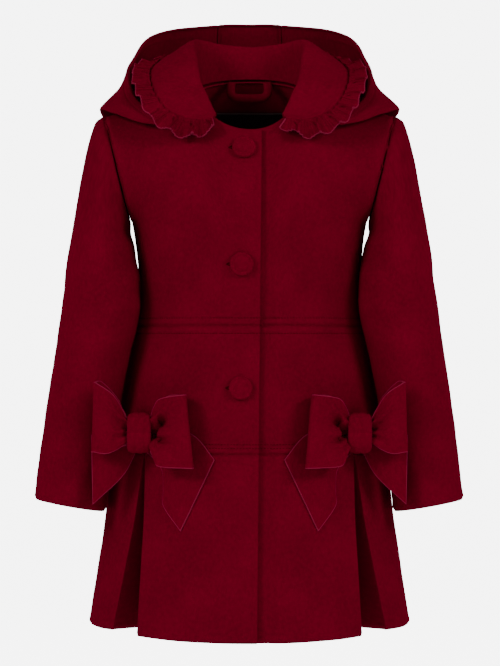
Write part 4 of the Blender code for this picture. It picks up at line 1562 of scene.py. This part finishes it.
BANDS = (
    ("outer_loop", OUTER_LOOP, 6, False, 0.165),
    ("inner_loop", INNER_LOOP, 6, True, 0.165),
    ("outer_tail", OUTER_TAIL, 2, True, 0.090),
    ("inner_tail", INNER_TAIL, 2, False, 0.100),
)
for side, mirrored in (("right", True), ("left", False)):
    for piece, rows, last, flipped, length in BANDS:
        near_edge = [0.0, 0.008, 0.018, 0.032, 0.05]
        middle = between(0.075, 0.925, 44)
        cloth(
            f"bow_{side}_{piece}_cloth",
            f"bow_{side}_{piece}",
            near_edge + middle + [1 - at for at in reversed(near_edge)],
            lines(0, last, length, 0.0018)[:-1] + [last * 0.994, last],
            lambda across, step: band_point(rows, across, step),
            mirrored=mirrored,
            flipped=flipped,
            material=trim_wool,
            relief=bow_relief(side, piece),
            cut="left right" if piece.endswith("loop") else "left right high",
            held="folded" if piece.endswith("loop") else "hung",
            rests_on=[f"midriff_front_{side}_cloth", f"skirt_front_{side}_cloth"],
        )
print("bow cut", {name: size for name, size in cut_sizes.items() if name.startswith("bow_left")})

# %% [markdown]
# The knot is a short strip wrapped over the middle of the bow. It bulges between its two
# rolled edges and has soft folds along the wrap.


# %% Knots
def knot_point(turn, across):
    """Point on a wrapped strip: turn goes round it in degrees, and across from -1 to 1 is its width."""
    angle = math.radians(turn)
    squeeze = 1 - 0.10 * abs(across) ** 3 - 0.13 * ease((abs(across) - 0.90) / 0.10)
    tall = KNOT_TALL / 2 * squeeze * (1 + 0.02 * math.sin(3 * angle))
    thick = KNOT_THICK / 2 * (squeeze - 0.02)
    centre = Vector((KNOT_X, -bow_bed(KNOT_X, KNOT_HEIGHT) - KNOT_LIFT - KNOT_THICK / 2, KNOT_HEIGHT))
    round_up = math.copysign(abs(math.sin(angle)) ** 0.85, math.sin(angle))
    round_out = math.copysign(abs(math.cos(angle)) ** 0.85, math.cos(angle))
    return centre + Vector((across * KNOT_LENGTH / 2, -round_out * thick, round_up * tall))


def knot_relief(side):
    phase = 0.4 if side == "right" else 1.9

    def height(point, turn, across):
        fold_line = math.sin(2.6 * math.pi * across + phase + 0.9 * math.sin(math.radians(turn)))
        return 0.00035 * fold_line * (1 - abs(across) ** 4) + drape(point * 1.5)

    return height


for side, mirrored in (("right", True), ("left", False)):
    cloth(
        f"bow_{side}_knot_cloth",
        f"bow_{side}_knot",
        between(0, 360, 84),
        [-1, -0.985, -0.96, -0.92] + between(-0.87, 0.87, 30) + [0.92, 0.96, 0.985, 1],
        knot_point,
        mirrored=mirrored,
        closed=True,
        wall=0.0016,
        material=trim_wool,
        relief=knot_relief(side),
        cut="low high",
        held="folded",
        rests_on=[f"bow_{side}_inner_loop_cloth", f"bow_{side}_outer_loop_cloth"],
    )
print("knot cut", cut_sizes["bow_left_knot_cloth"])

# %% [markdown]
# ## Topstitching
# Rows of stitches in matching thread hold the seams flat: one beside the waist seam on either
# side, two over the hip seam, one round each cuff. One stitch is a short spindle, and a row
# lays it end to end along a line on the cloth, sunk a little.

# %% Stitch rows
STITCH_PITCH = 0.0034
THREAD_RADIUS = 0.00034


def stitch_row(name, points, outwards):
    """Stitches along a line of points; outwards gives the cloth's direction at each."""
    work = bmesh.new()
    lengths = steps_along(points)
    count = int(lengths[-1] / STITCH_PITCH)
    for index in range(count):
        here = (index + 0.5) * lengths[-1] / count
        low = min(len(points) - 2, bisect_right(lengths, here) - 1)
        share = (here - lengths[low]) / (lengths[low + 1] - lengths[low])
        centre = points[low].lerp(points[low + 1], share)
        out = outwards[low]
        along = (points[low + 1] - points[low]).normalized()
        side = along.cross(out).normalized()
        turned = Matrix((along, side, along.cross(side))).transposed().to_4x4()
        size = Matrix.Diagonal((STITCH_PITCH * 0.40, THREAD_RADIUS, THREAD_RADIUS, 1))
        place = Matrix.Translation(centre + out * 0.00005)
        bmesh.ops.create_icosphere(work, subdivisions=1, radius=1, matrix=place @ turned @ size)
    data = bpy.data.meshes.new(name)
    work.to_mesh(data)
    work.free()
    made = bpy.data.objects.new(name, data)
    bpy.context.scene.collection.objects.link(made)
    flat_uv(made)
    finish_piece(made, thread_finish, [], 0)
    return count


def round_body(height, start, end, back, side):
    """Points on the finished face of the cloth at one height, from angle to angle."""
    points, outwards = [], []
    for angle in between(start, end, 90):
        face = torso(abs(angle), height, back) if angle >= 0 else front_point(angle / 8, height, False)
        face.x *= side
        out = Vector((face.x / 0.02, face.y / 0.012, 0)).normalized()
        points.append(face + out * (body_relief(face) + 0.0002 - STITCH_DEPTH))
        outwards.append(out)
    return points, outwards


total = 0
for label, height in (
    ("waist_upper", WAIST_SEAM + 0.0085),
    ("waist_lower", WAIST_SEAM - 0.0085),
    ("hip_lower", HIP_SEAM + 0.0068),
    ("hip_upper", HIP_SEAM + 0.0110),
):
    quarters = (
        ("front_right", False, -1, -7),
        ("front_left", False, 1, 3),
        ("back_right", True, -1, 0.2),
        ("back_left", True, 1, 0.2),
    )
    for part, back, side, start in quarters:
        total += stitch_row(f"stitches_{label}_{part}", *round_body(height, start, 89, back, side))
print(total, "stitches round the body")

# %% Cuff stitches
for name, side in (("right", -1), ("left", 1)):
    folds = sleeve_folds(side < 0)
    cuff_step = 9 - 9 * CUFF_STITCH / 0.46
    points, outwards = [], []
    for turn in between(0, 360, 120):
        face, inner = sleeve_point(turn, cuff_step), sleeve_point(turn + 180, cuff_step)
        out = (face - inner).normalized()
        face.x *= side
        out.x *= side
        points.append(face + out * (fold_height(face, folds) + 1.6 * drape(face) + 0.0002 - STITCH_DEPTH))
        outwards.append(out)
    print(stitch_row(f"stitches_cuff_{name}", points, outwards), "stitches round the", name, "cuff")

# %% [markdown]
# ## Finish
# The last cell prints the size each piece was cut to and the area of its cloth.

# %% Finish
print("pieces cut:", len(cut_sizes))
for name, (width, length, area) in cut_sizes.items():
    print(f"  {name}: {width} x {length}, {area} square metres")
